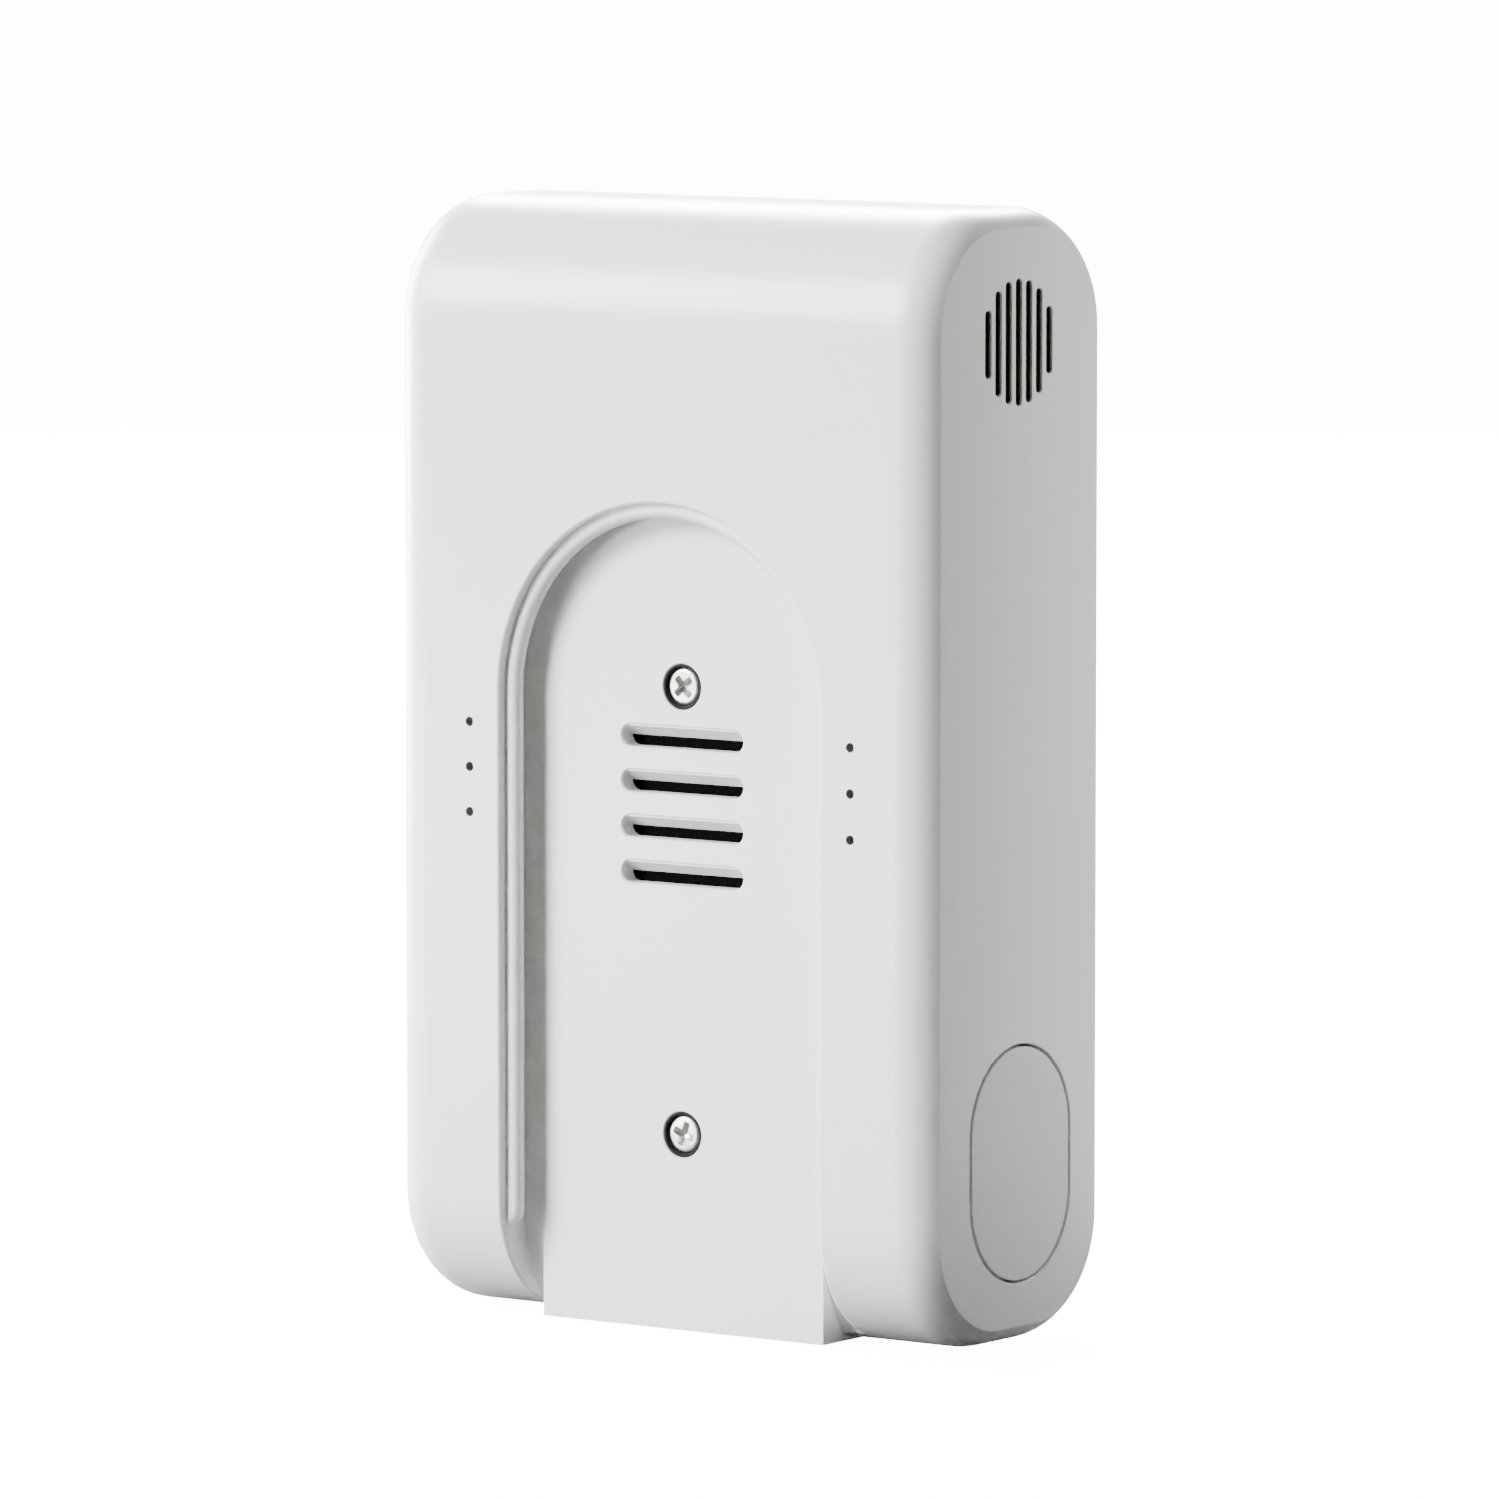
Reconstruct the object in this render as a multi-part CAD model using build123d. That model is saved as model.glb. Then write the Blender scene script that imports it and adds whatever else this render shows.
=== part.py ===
"""Video doorbell with a wall-side recess, a side speaker and a side key.

Millimetres. +X is the doorbell's speaker side, -Y faces the wall, +Y faces the visitor and
+Z is up. The origin is the middle of the footprint, on the surface that the doorbell stands on.
"""
import os
from math import cos, radians, sin, sqrt

from build123d import *

os.makedirs("parts", exist_ok=True)

# ---------------------------------------------------------------- housing, outside
WIDTH = 70.0
DEPTH = 33.0
HEIGHT = 120.0
PROFILE_RADIUS = 13.0        # the four corners of the side profile
SIDE_ROUND = 5.7             # rounding from the front and back towards each side face
SIDE_ROUND_ANGLE = 49.6      # how far it turns before the crease around the side face
WALL = 2.2

# ---------------------------------------------------------------- wall-side recess
RECESS_WIDTH = 41.8
RECESS_ARCH_Z = 67.6         # centre of the arch at its top
RECESS_DEPTH = 4.4
RECESS_FLOOR = 2.0           # wall behind the recess
RIM_FILLET = 0.45
RAIL_HEIGHT = 1.6            # how far the bead stands out of the recess wall
RAIL_THICKNESS = 1.75
RAIL_DEPTH = 1.0             # from the back of the housing to the bead
RAIL_END_Z = 11.6
FOOT_WIDTH = 36.8
STRIP_TOP_Z = 12.0           # where the floor starts to curve away beside the foot
STRIP_RADIUS = 19.0
DIMPLE_DIAMETER = 1.05
DIMPLE_DEPTH = 1.2
DIMPLE_X = 24.9
DIMPLE_TOP_Z = 64.1
DIMPLE_PITCH = 4.85
DIMPLE_ROWS = 3

# ---------------------------------------------------------------- louvres and grille
LOUVRE_LENGTH = 15.8
LOUVRE_HEIGHT = 2.35
LOUVRE_PITCH = 4.85
LOUVRE_COUNT = 4
LOUVRE_TOP_Z = 63.3
LOUVRE_ROOF_DROP = 1.25      # how far each roof slopes down on its way in
LOUVRE_MESH = 0.3
MESH_LAP = 0.8               # how far the cloth reaches past the openings
GRILLE_RADIUS = 6.65
GRILLE_PITCH = 1.88
GRILLE_SLOT = 1.0
GRILLE_EDGE = 0.1
GRILLE_SLOTS_EACH_SIDE = 3
GRILLE_Z_FROM_TOP = 14.0
GRILLE_Y = -0.2

# ---------------------------------------------------------------- fasteners
HOUSING_SCREW_Z = (21.0, 68.8)
SCREW_POCKET = 4.8
SCREW_SINK = 1.55            # from the recess floor to the screw's seat
SCREW_HEAD = 4.0
SCREW_HEAD_HEIGHT = 0.95
SCREW_HEAD_EDGE = 0.35
SCREW_SEAL = 0.35            # rubber between the head and its seat
SCREW_SEAL_DROP = 0.45       # from the recess floor to the rim of the rubber cup
SCREW_SHANK = 2.0
SCREW_LENGTH = 8.0
SCREW_BOSS = 7.0
SCREW_BOSS_LENGTH = 1.5
SCREW_CLEARANCE = 0.05       # radial, between a screw and the plastic it bites into
CROSS_LENGTH = 2.3
CROSS_WIDTH = 0.55
CROSS_DEPTH = 0.7
SMALL_SHANK = 1.6
SMALL_HEAD = 3.0
SMALL_HEAD_HEIGHT = 1.0
SMALL_LENGTH = 3.4
SMALL_CROSS_LENGTH = 2.0
HOLE_BOTTOM_GAP = 0.5        # left below the tip of a screw
PANEL_SCREW_ABOVE_END = 13.0
MOUTH_CHAMFER = 0.18         # broken edge around each opening
PAST = 1.0                   # how far a cut runs past the face that it opens
ROOT = 0.5                   # how far a post or a bead reaches into what carries it

# ---------------------------------------------------------------- front panel
PANEL_BORDER_SIDE = 5.5
PANEL_BORDER_END = 14.5
PANEL_CORNER = 9.0
PANEL_THICKNESS = 1.8
PANEL_GAP = 0.15
PANEL_EDGE = 0.3
SEAL_THICKNESS = 0.4
SEAL_WIDTH = 1.2
LEDGE_WIDTH = 1.6
LEDGE_THICKNESS = 1.2

# ---------------------------------------------------------------- camera
CAMERA_FROM_TOP = 29.0
BEZEL_DIAMETER = 26.0
BEZEL_THICKNESS = 2.2
WINDOW_DIAMETER = 13.0
WINDOW_THICKNESS = 1.1
WINDOW_SEAT = 1.0
BARREL_DIAMETER = 9.0
BARREL_LENGTH = 7.0
BARREL_TO_BOARD = 2.1
BARREL_BORE = 6.4
BARREL_MOUTH_STEP = 0.6
LENS_THICKNESS = 1.6
LENS_SETBACK = 0.7
LENS_FRONT_GAP = 0.1         # from the crown of the glass to the barrel's mouth
LENS_DOME_RADIUS = 5.1
LENS_FIT = 0.02              # radial, between the glass and the barrel
HOLDER_SIZE = 12.0
HOLDER_LENGTH = 4.2
SENSOR_SIZE = 6.0
SENSOR_THICKNESS = 0.8
SENSOR_ROOM = 0.3            # around the sensor, inside the holder
SENSOR_HEADROOM = 0.6
CAMERA_BOARD_SIZE = 22.0
EMITTER_DIAMETER = 3.0
EMITTER_CIRCLE = 19.0
EMITTER_COUNT = 4
EMITTER_SETBACK = 1.0
EMITTER_BOARD_GAP = 5.6      # from the visitor's side to the ring board
EMITTER_BOARD_DIAMETER = 25.0
EMITTER_BOARD_BORE = 12.6
LIGHT_SENSOR_SIZE = 1.8
LIGHT_SENSOR_HEIGHT = 0.7

# ---------------------------------------------------------------- motion sensor and microphone
PIR_BELOW_CAMERA = 26.5
PIR_LENS_DIAMETER = 12.0
PIR_FLANGE = 14.0
PIR_FLANGE_THICKNESS = 1.0
PIR_LENS_WALL = 0.8
PIR_DOME_RADIUS = 12.0
PIR_CAN_DIAMETER = 9.2
PIR_CAN_HEIGHT = 3.8
CAN_EDGE = 0.4
MIC_ABOVE_PANEL_END = 4.8
MIC_HOLE = 1.1
MIC_SIZE = 3.6
MIC_DEPTH = 1.8
MIC_HEIGHT = 1.1
MIC_BOOT_DIAMETER = 4.4
MIC_BOOT_WALL = 1.1

# ---------------------------------------------------------------- bell button
BELL_ABOVE_MIC = 1.0         # from the microphone's boot to the light guide's flange
BELL_DIAMETER = 19.6
BELL_LIP = 1.2               # how far the flange reaches past the button
BELL_FLANGE_THICKNESS = 1.2
BELL_TRAVEL = 0.8
BELL_SETBACK = 0.1
BELL_EDGE = 0.5
BELL_DISH_RADIUS = 60.0
BELL_DISH_DEPTH = 0.35
RING_WALL = 2.0
RING_LIP = 1.5               # how far the flange reaches past the light guide
RING_FLANGE_THICKNESS = 1.2
MOVING_GAP = 0.2
BELL_SPRING_DIAMETER = 15.0
BELL_SPRING_WALL = 1.5
SWITCH_SIZE = 5.2
SWITCH_HEIGHT = 1.4
STEM_DIAMETER = 2.4
STEM_HEIGHT = 0.6
PLUNGER_DIAMETER = 4.0
STOP_GAP = 0.1               # left between plunger and switch at full travel
RING_LED_COUNT = 6
RING_LED_START = 30
RING_LED_SIZE = 1.6
RING_LED_HEIGHT = 0.7

# ---------------------------------------------------------------- side key
KEY_WIDTH = 18.0
KEY_HEIGHT = 24.8
KEY_Y = 0.4
KEY_Z = 19.3
KEY_GAP = 0.3
KEY_CAP = 2.4
KEY_LIP = 1.2
KEY_LIP_THICKNESS = 1.0
KEY_TRAVEL = 0.8
KEY_EDGE = 0.12
KEY_SWITCH_SIZE = 4.4
KEY_SWITCH_HEIGHT = 1.2
KEY_STEM_HEIGHT = 0.4
KEY_PLUNGER_LENGTH = 1.1
KEY_SPRING_DIAMETER = 9.0
KEY_SPRING_WALL = 1.2
KEY_BOARD_THICKNESS = 0.8
KEY_BOARD_HEIGHT = 11.0
KEY_POST = 2.4
KEY_POST_SPACING = 21.4
KEY_POST_SKIN = 0.6          # of side wall left over each post's hole

# ---------------------------------------------------------------- speaker
SPEAKER_DIAMETER = 20.0
SPEAKER_DEPTH = 3.8
SPEAKER_RIM = 1.6
SPEAKER_GAP = 0.15
SPEAKER_GASKET = 0.5
SPEAKER_SEAT_WALL = 1.2
SPEAKER_SEAT_LENGTH = 3.0
SPEAKER_BASE = 0.8
GRILLE_MESH = 0.3
GRILLE_MESH_LAP = 0.4
GRILLE_CLEAR = 0.6           # radial, around the grille inside the gasket
CONE_THICKNESS = 0.3
CONE_SETBACK = 0.6
CONE_DEPTH = 1.7
CONE_THROAT = 3.3
CONE_GAP = 0.1
DUST_CAP_RISE = 0.5
MAGNET_DIAMETER = 12.0
MAGNET_HEIGHT = 2.0

# ---------------------------------------------------------------- boards, battery and chassis
BOARD_THICKNESS = 1.0
BOARD_FROM_FRONT = 8.0       # from the visitor's side to the main board's front
BOARD_BOTTOM_GAP = 1.0
BOARD_TOP_GAP = 1.0
BOARD_CORNER_HOLE = 3.0      # from a board's edges to its screw
CHASSIS_THICKNESS = 1.4
CHASSIS_SIDE_GAP = 2.4
CHASSIS_END_GAP = 0.5
CHASSIS_CORNER = 3.0
STANDOFF_DIAMETER = 4.0
PACK_THICKNESS = 11.4
PACK_HEIGHT = 33.0
PACK_END_GAP = 0.5           # from the panel screws' heads to the pack
PACK_SIDE_GAP = 3.0          # from the pack to the side wall
PACK_CORNER = 4.0
PACK_EDGE = 1.0
PACK_FRONT_GAP = 0.4
TAPE_THICKNESS = 0.5
TAPE_WIDTH = 8.0
TAPE_INNER_X = 10.5
TAPE_END_GAP = 2.0
COMPONENT_GAP = 1.0
SHIELD_WIDTH = 10.5
SHIELD_LENGTH = 12.0
SHIELD_HEIGHT = 1.8
SHIELD_WALL = 0.25
PROCESSOR_SIZE = 9.0
MEMORY_SIZE = 5.0
CHARGER_SIZE = 4.0
CHARGER_X = -12.0
CHIP_HEIGHT = 0.9
BATTERY_SOCKET = 6.0
SPEAKER_SOCKET = 4.5
CAMERA_SOCKET = 9.0
SOCKET_FROM_EDGE = 7.0
SOCKET_LENGTH = 4.0
SOCKET_HEIGHT = 1.6
SOCKET_WALL = 0.4
ANTENNA_WIDTH = 5.5
ANTENNA_THICKNESS = 0.6
ANTENNA_HEIGHT = 18.0
ANTENNA_GAP = 1.0

# ---------------------------------------------------------------- charging socket
USB_WIDTH = 8.94
USB_HEIGHT = 3.16
USB_LENGTH = 7.3
USB_SHELL = 0.3
USB_RADIUS = 1.2
USB_SETBACK = 0.4
USB_TONGUE_WIDTH = 6.7
USB_TONGUE_HEIGHT = 0.7
USB_TONGUE_SETBACK = 0.8
USB_HOLE_GAP = 0.2
USB_BOARD_WIDTH = 16.0
USB_BOARD_THICKNESS = 0.7
USB_BOARD_Z = 5.0
USB_TAB_LAP = 2.0            # how far the chassis tab runs up the chassis

# ---------------------------------------------------------------- places that follow from these
BACK = -DEPTH / 2
FRONT = DEPTH / 2
RIGHT = WIDTH / 2
SIDE_SPAN = SIDE_ROUND * sin(radians(SIDE_ROUND_ANGLE))
FLOOR_Y = BACK + RECESS_DEPTH
FLOOR_INNER_Y = FLOOR_Y + RECESS_FLOOR
SEAT_Y = FLOOR_Y + SCREW_SINK
HEAD_BACK = SEAT_Y - SCREW_SEAL
BOSS_END_Y = FLOOR_INNER_Y + SCREW_BOSS_LENGTH
PANEL_WIDTH = WIDTH - 2 * PANEL_BORDER_SIDE
PANEL_HEIGHT = HEIGHT - 2 * PANEL_BORDER_END
PANEL_BACK = FRONT - PANEL_THICKNESS
LEDGE_FRONT = PANEL_BACK - SEAL_THICKNESS
LEDGE_BACK = LEDGE_FRONT - LEDGE_THICKNESS
CAMERA_Z = HEIGHT - CAMERA_FROM_TOP
PIR_Z = CAMERA_Z - PIR_BELOW_CAMERA
MIC_Z = PANEL_BORDER_END + MIC_ABOVE_PANEL_END
GRILLE_Z = HEIGHT - GRILLE_Z_FROM_TOP
PACK_BACK = FLOOR_INNER_Y + TAPE_THICKNESS
PACK_FRONT = PACK_BACK + PACK_THICKNESS
PACK_HALF_WIDTH = RIGHT - WALL - PACK_SIDE_GAP
CHASSIS_BACK = PACK_FRONT + PACK_FRONT_GAP
CHASSIS_FRONT = CHASSIS_BACK + CHASSIS_THICKNESS
CHASSIS_HALF_WIDTH = PANEL_WIDTH / 2 - LEDGE_WIDTH - CHASSIS_SIDE_GAP
CHASSIS_BOTTOM = PANEL_BORDER_END + LEDGE_WIDTH + CHASSIS_END_GAP
CHASSIS_TOP = HEIGHT - CHASSIS_BOTTOM
PANEL_SCREW_Z = (CHASSIS_BOTTOM + PANEL_SCREW_ABOVE_END, CHASSIS_TOP - BOARD_CORNER_HOLE)
PACK_Z = PANEL_SCREW_Z[0] + SMALL_HEAD / 2 + PACK_END_GAP + PACK_HEIGHT / 2
BOARD_FRONT = FRONT - BOARD_FROM_FRONT
BOARD_BACK = BOARD_FRONT - BOARD_THICKNESS
BOARD_BOTTOM = CHASSIS_BOTTOM + BOARD_BOTTOM_GAP
BOARD_TOP = CAMERA_Z - CAMERA_BOARD_SIZE / 2 - BOARD_TOP_GAP
BOARD_HALF_WIDTH = CHASSIS_HALF_WIDTH - BOARD_BOTTOM_GAP
WINDOW_FRONT = FRONT - BELL_SETBACK
WINDOW_BACK = WINDOW_FRONT - WINDOW_THICKNESS
BARREL_FRONT = WINDOW_BACK - 2 * MOVING_GAP
BARREL_BACK = BARREL_FRONT - BARREL_LENGTH
CAMERA_BOARD_FRONT = BARREL_BACK - BARREL_TO_BOARD
CAMERA_BOARD_BACK = CAMERA_BOARD_FRONT - BOARD_THICKNESS
HOLDER_FRONT = CAMERA_BOARD_FRONT + HOLDER_LENGTH
EMITTER_BOARD_FRONT = FRONT - EMITTER_BOARD_GAP
RING_INNER = BELL_DIAMETER / 2 + MOVING_GAP
RING_OUTER = RING_INNER + RING_WALL
RING_FLANGE_RADIUS = RING_OUTER + RING_LIP
RING_FLANGE_BACK = PANEL_BACK - RING_FLANGE_THICKNESS
BELL_Z = MIC_Z + MIC_BOOT_DIAMETER / 2 + BELL_ABOVE_MIC + RING_FLANGE_RADIUS
BELL_FLANGE_FRONT = RING_FLANGE_BACK - MOVING_GAP
BELL_FLANGE_BACK = BELL_FLANGE_FRONT - BELL_FLANGE_THICKNESS
SWITCH_TOP = BOARD_FRONT + SWITCH_HEIGHT + STEM_HEIGHT
BELL_PLUNGER_END = SWITCH_TOP + STOP_GAP + BELL_TRAVEL
SIDE_INNER = RIGHT - WALL
KEY_LIP_FRONT = SIDE_INNER - MOVING_GAP
KEY_LIP_BACK = KEY_LIP_FRONT - KEY_LIP_THICKNESS
KEY_PLUNGER_END = KEY_LIP_BACK - KEY_PLUNGER_LENGTH
KEY_STEM_TOP = KEY_PLUNGER_END - KEY_TRAVEL - STOP_GAP
KEY_SWITCH_FRONT = KEY_STEM_TOP - KEY_STEM_HEIGHT
KEY_BOARD_FRONT = KEY_SWITCH_FRONT - KEY_SWITCH_HEIGHT
KEY_BOARD_BACK = KEY_BOARD_FRONT - KEY_BOARD_THICKNESS
SPEAKER_FACE = SIDE_INNER - SPEAKER_GASKET
SPEAKER_BACK = SPEAKER_FACE - SPEAKER_DEPTH
USB_BOTTOM = USB_SETBACK
USB_BOARD_FRONT = CHASSIS_BACK
USB_BOARD_BACK = USB_BOARD_FRONT - USB_BOARD_THICKNESS
USB_Y = USB_BOARD_BACK - USB_HEIGHT / 2
SHIELD_Z = PIR_Z - PIR_CAN_DIAMETER


# ---------------------------------------------------------------- small shape makers
def block(x0, x1, y0, y1, z0, z1):
    """A box between two corners."""
    return Pos((x0 + x1) / 2, (y0 + y1) / 2, (z0 + z1) / 2) * Box(x1 - x0, y1 - y0, z1 - z0)


def disc(radius, y0, y1, x, z):
    """A cylinder along Y."""
    return Pos(x, (y0 + y1) / 2, z) * Rot(90, 0, 0) * Cylinder(radius, y1 - y0)


def side_disc(radius, x0, x1, y, z):
    """A cylinder along X."""
    return Pos((x0 + x1) / 2, y, z) * Rot(0, 90, 0) * Cylinder(radius, x1 - x0)


def plate(outline, y0, y1):
    """An outline in X and Z, made solid between two depths."""
    return extrude(Plane.XZ.offset(-y1) * outline, amount=y1 - y0)


def side_plate(outline, x0, x1):
    """An outline in Y and Z, made solid between two places along X."""
    return extrude(Plane.YZ.offset(x0) * outline, amount=x1 - x0)


def ring(outer, inner, y0, y1, x, z):
    """A tube along Y."""
    return disc(outer, y0, y1, x, z) - disc(inner, y0 - PAST, y1 + PAST, x, z)


def mouth(outline, y, size):
    """The broken edge of an opening that faces the wall, from an outline already grown by its size."""
    return extrude(Plane.XZ.offset(-y) * outline, amount=-size, taper=45)


def front_mouth(outline, size):
    """The broken edge of an opening in the visitor's side."""
    return extrude(Plane.XZ.offset(-FRONT) * outline, amount=size, taper=45)


def side_mouth(outline, size):
    """The broken edge of an opening in the side face."""
    return extrude(Plane.YZ.offset(RIGHT) * outline, amount=-size, taper=45)


def panel_outline(grow):
    """The front panel's outline, grown or shrunk."""
    shape = RectangleRounded(PANEL_WIDTH + 2 * grow, PANEL_HEIGHT + 2 * grow, PANEL_CORNER + grow)
    return Pos(0, HEIGHT / 2) * shape


def key_outline(grow, lip=0.0):
    """The side key's stadium, grown all round and, for its lip, at both ends."""
    shape = SlotOverall(KEY_HEIGHT + 2 * grow + 2 * lip, KEY_WIDTH + 2 * grow, rotation=90)
    return Pos(KEY_Y, KEY_Z) * shape


def small_screw(x, y, z):
    """A board screw along Y with its head's underside at y."""
    head = disc(SMALL_HEAD / 2, y, y + SMALL_HEAD_HEIGHT, x, z)
    shank = disc(SMALL_SHANK / 2, y - SMALL_LENGTH, y, x, z)
    arm = SMALL_CROSS_LENGTH / 2
    slot = block(x - arm, x + arm, y + SMALL_HEAD_HEIGHT / 2, y + SMALL_HEAD_HEIGHT + PAST,
                 z - CROSS_WIDTH / 2, z + CROSS_WIDTH / 2)
    cross = slot + Pos(x, 0, z) * Rot(0, 90, 0) * Pos(-x, 0, -z) * slot
    return head + shank - cross


def board_holes(half_width, bottom, top):
    """The four screw places of a board."""
    places = []
    for x in (-half_width + BOARD_CORNER_HOLE, half_width - BOARD_CORNER_HOLE):
        for z in (bottom + BOARD_CORNER_HOLE, top - BOARD_CORNER_HOLE):
            places.append((x, z))
    return places


MAIN_HOLES = board_holes(BOARD_HALF_WIDTH, BOARD_BOTTOM, BOARD_TOP)
CAMERA_HOLES = board_holes(CAMERA_BOARD_SIZE / 2, CAMERA_Z - CAMERA_BOARD_SIZE / 2,
                           CAMERA_Z + CAMERA_BOARD_SIZE / 2)
PANEL_SCREW_X = CHASSIS_HALF_WIDTH - BOARD_CORNER_HOLE
PANEL_HOLES = [(x, z) for x in (-PANEL_SCREW_X, PANEL_SCREW_X) for z in PANEL_SCREW_Z]
KEY_POST_Y = (KEY_Y - KEY_POST_SPACING / 2, KEY_Y + KEY_POST_SPACING / 2)


# ---------------------------------------------------------------- rear housing
def shell(inset):
    """The rounded box, or its cavity when inset by the wall."""
    radius = SIDE_ROUND - inset
    reach = RIGHT - SIDE_SPAN + radius
    profile = RectangleRounded(DEPTH - 2 * inset, HEIGHT - 2 * inset, PROFILE_RADIUS - inset)
    solid = side_plate(Pos(0, HEIGHT / 2) * profile, -reach, reach)
    ends = solid.faces().sort_by(Axis.X)[-1].edges() + solid.faces().sort_by(Axis.X)[0].edges()
    solid = fillet(ends, radius)
    half = RIGHT - inset
    return solid & block(-half, half, BACK, FRONT, 0, HEIGHT)


def recess_outline(grow):
    """The arch, open below."""
    half = RECESS_WIDTH / 2 + grow
    straight = Pos(0, (RECESS_ARCH_Z - PAST) / 2) * Rectangle(2 * half, RECESS_ARCH_Z + PAST)
    return straight + Pos(0, RECESS_ARCH_Z) * Circle(half)


def curved_strip(radius, half_width):
    """What lies on the wall side of the floor's curve beside the foot."""
    centre_y = FLOOR_Y + STRIP_RADIUS
    low = -PAST
    low_y = centre_y - sqrt(radius**2 - (STRIP_TOP_Z - low)**2)
    middle_z = (STRIP_TOP_Z + low) / 2
    middle_y = centre_y - sqrt(radius**2 - (STRIP_TOP_Z - middle_z)**2)
    top = (centre_y - radius, STRIP_TOP_Z)
    bottom = (low_y, low)
    curve = ThreePointArc(top, (middle_y, middle_z), bottom)
    rest = Polyline(bottom, (BACK - PAST, low), (BACK - PAST, STRIP_TOP_Z), top)
    return side_plate(make_face([curve, rest]), -half_width, half_width)


def rail():
    """The bead along the recess wall, with rounded lower ends."""
    tip = RAIL_THICKNESS / 2
    middle_y = BACK + RAIL_DEPTH + tip
    half = RECESS_WIDTH / 2
    reach = RAIL_HEIGHT - tip
    inward = (Align.MAX, Align.CENTER)
    bead = Rectangle(reach + ROOT, RAIL_THICKNESS, align=inward) + Pos(-reach - ROOT, 0) * Circle(tip)
    section = Plane.XY * Pos(half + ROOT, middle_y) * bead
    legs = extrude(Pos(0, 0, RAIL_END_Z) * section, amount=RECESS_ARCH_Z - RAIL_END_Z)
    arch = revolve(Pos(0, 0, RECESS_ARCH_Z) * section, Axis((0, 0, RECESS_ARCH_Z), (0, 1, 0)), -180)
    end_face = Pos(-reach, 0) * Circle(tip) + Rectangle(reach, RAIL_THICKNESS, align=inward)
    end_face &= Rectangle(2 * RAIL_HEIGHT, RAIL_THICKNESS, align=inward)
    end = revolve(Pos(half, middle_y, RAIL_END_Z) * end_face, Axis((half, 0, RAIL_END_Z), (0, 1, 0)), 360)
    leg = legs + end
    return arch + leg + mirror(leg, Plane.YZ)


def louvre(z):
    """One slot, with a roof that slopes down on its way in."""
    opening = Pos(0, z) * SlotOverall(LOUVRE_LENGTH, LOUVRE_HEIGHT)
    end_y = FLOOR_INNER_Y + PAST
    slot = plate(opening, FLOOR_Y - PAST, end_y)
    roof_z = z + LOUVRE_HEIGHT / 2
    drop = LOUVRE_ROOF_DROP / RECESS_FLOOR * (RECESS_FLOOR + PAST)
    roof = Polyline((FLOOR_Y, roof_z), (end_y, roof_z - drop), (end_y, roof_z + PAST),
                    (FLOOR_Y, roof_z + PAST), (FLOOR_Y, roof_z))
    slot -= side_plate(make_face(roof), -LOUVRE_LENGTH, LOUVRE_LENGTH)
    wide = Pos(0, z) * SlotOverall(LOUVRE_LENGTH + 2 * MOUTH_CHAMFER, LOUVRE_HEIGHT + 2 * MOUTH_CHAMFER)
    return slot + mouth(wide, FLOOR_Y, MOUTH_CHAMFER)


def grille_slots():
    """Upright slots that fill a circle."""
    slots = []
    for k in range(-GRILLE_SLOTS_EACH_SIDE, GRILLE_SLOTS_EACH_SIDE + 1):
        offset = k * GRILLE_PITCH
        length = 2 * sqrt(GRILLE_RADIUS**2 - offset**2)
        outline = Pos(GRILLE_Y + offset, GRILLE_Z) * SlotOverall(length, GRILLE_SLOT, rotation=90)
        wide = SlotOverall(length + 2 * GRILLE_EDGE, GRILLE_SLOT + 2 * GRILLE_EDGE, rotation=90)
        edge = side_mouth(Pos(GRILLE_Y + offset, GRILLE_Z) * wide, GRILLE_EDGE)
        slots.append(side_plate(outline, SIDE_INNER - PAST, RIGHT + PAST) + edge)
    return slots


def tub():
    """The hollow shell with the recess pressed into its back and the foot left proud below it."""
    half_foot = FOOT_WIDTH / 2
    foot = block(-half_foot, half_foot, FLOOR_Y, BACK + PROFILE_RADIUS + PAST, 0, PROFILE_RADIUS)
    recess_backing = plate(recess_outline(RECESS_FLOOR), BACK, FLOOR_INNER_Y)
    strip_backing = curved_strip(STRIP_RADIUS - RECESS_FLOOR, RECESS_WIDTH / 2 + RECESS_FLOOR)
    foot_backing = block(-half_foot, half_foot, BACK, FLOOR_INNER_Y + PAST, 0, STRIP_TOP_Z)
    cavity = shell(WALL) - recess_backing - strip_backing - foot_backing
    body = (shell(0) + foot) - cavity
    body -= plate(recess_outline(0), BACK - PAST, FLOOR_Y)
    strips = curved_strip(STRIP_RADIUS, RECESS_WIDTH / 2)
    strips -= block(-half_foot, half_foot, BACK - 2 * PAST, FRONT, -2 * PAST, STRIP_TOP_Z + PAST)
    return body - strips


def recess_rim(body):
    """The edges that run around the mouth of the recess, down to the ground."""
    same = 0.01
    edges = []
    for edge in body.edges():
        middle = edge @ 0.5
        box = edge.bounding_box()
        inside = abs(middle.X) < RECESS_WIDTH / 2 + same and middle.Z < RECESS_ARCH_Z + RECESS_WIDTH
        on_back = abs(box.min.Y - BACK) < same and abs(box.max.Y - BACK) < same
        above_corner = middle.Z > PROFILE_RADIUS + PAST
        on_wall = abs(abs(middle.X) - RECESS_WIDTH / 2) < same and box.size.X < same
        crosses_strip = box.max.Z > STRIP_TOP_Z and box.min.Z < STRIP_TOP_Z / 2
        down_corner = on_wall and crosses_strip and box.size.Y > RECESS_DEPTH / 2
        if (on_back and inside and above_corner) or down_corner:
            edges.append(edge)
    return edges


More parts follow.
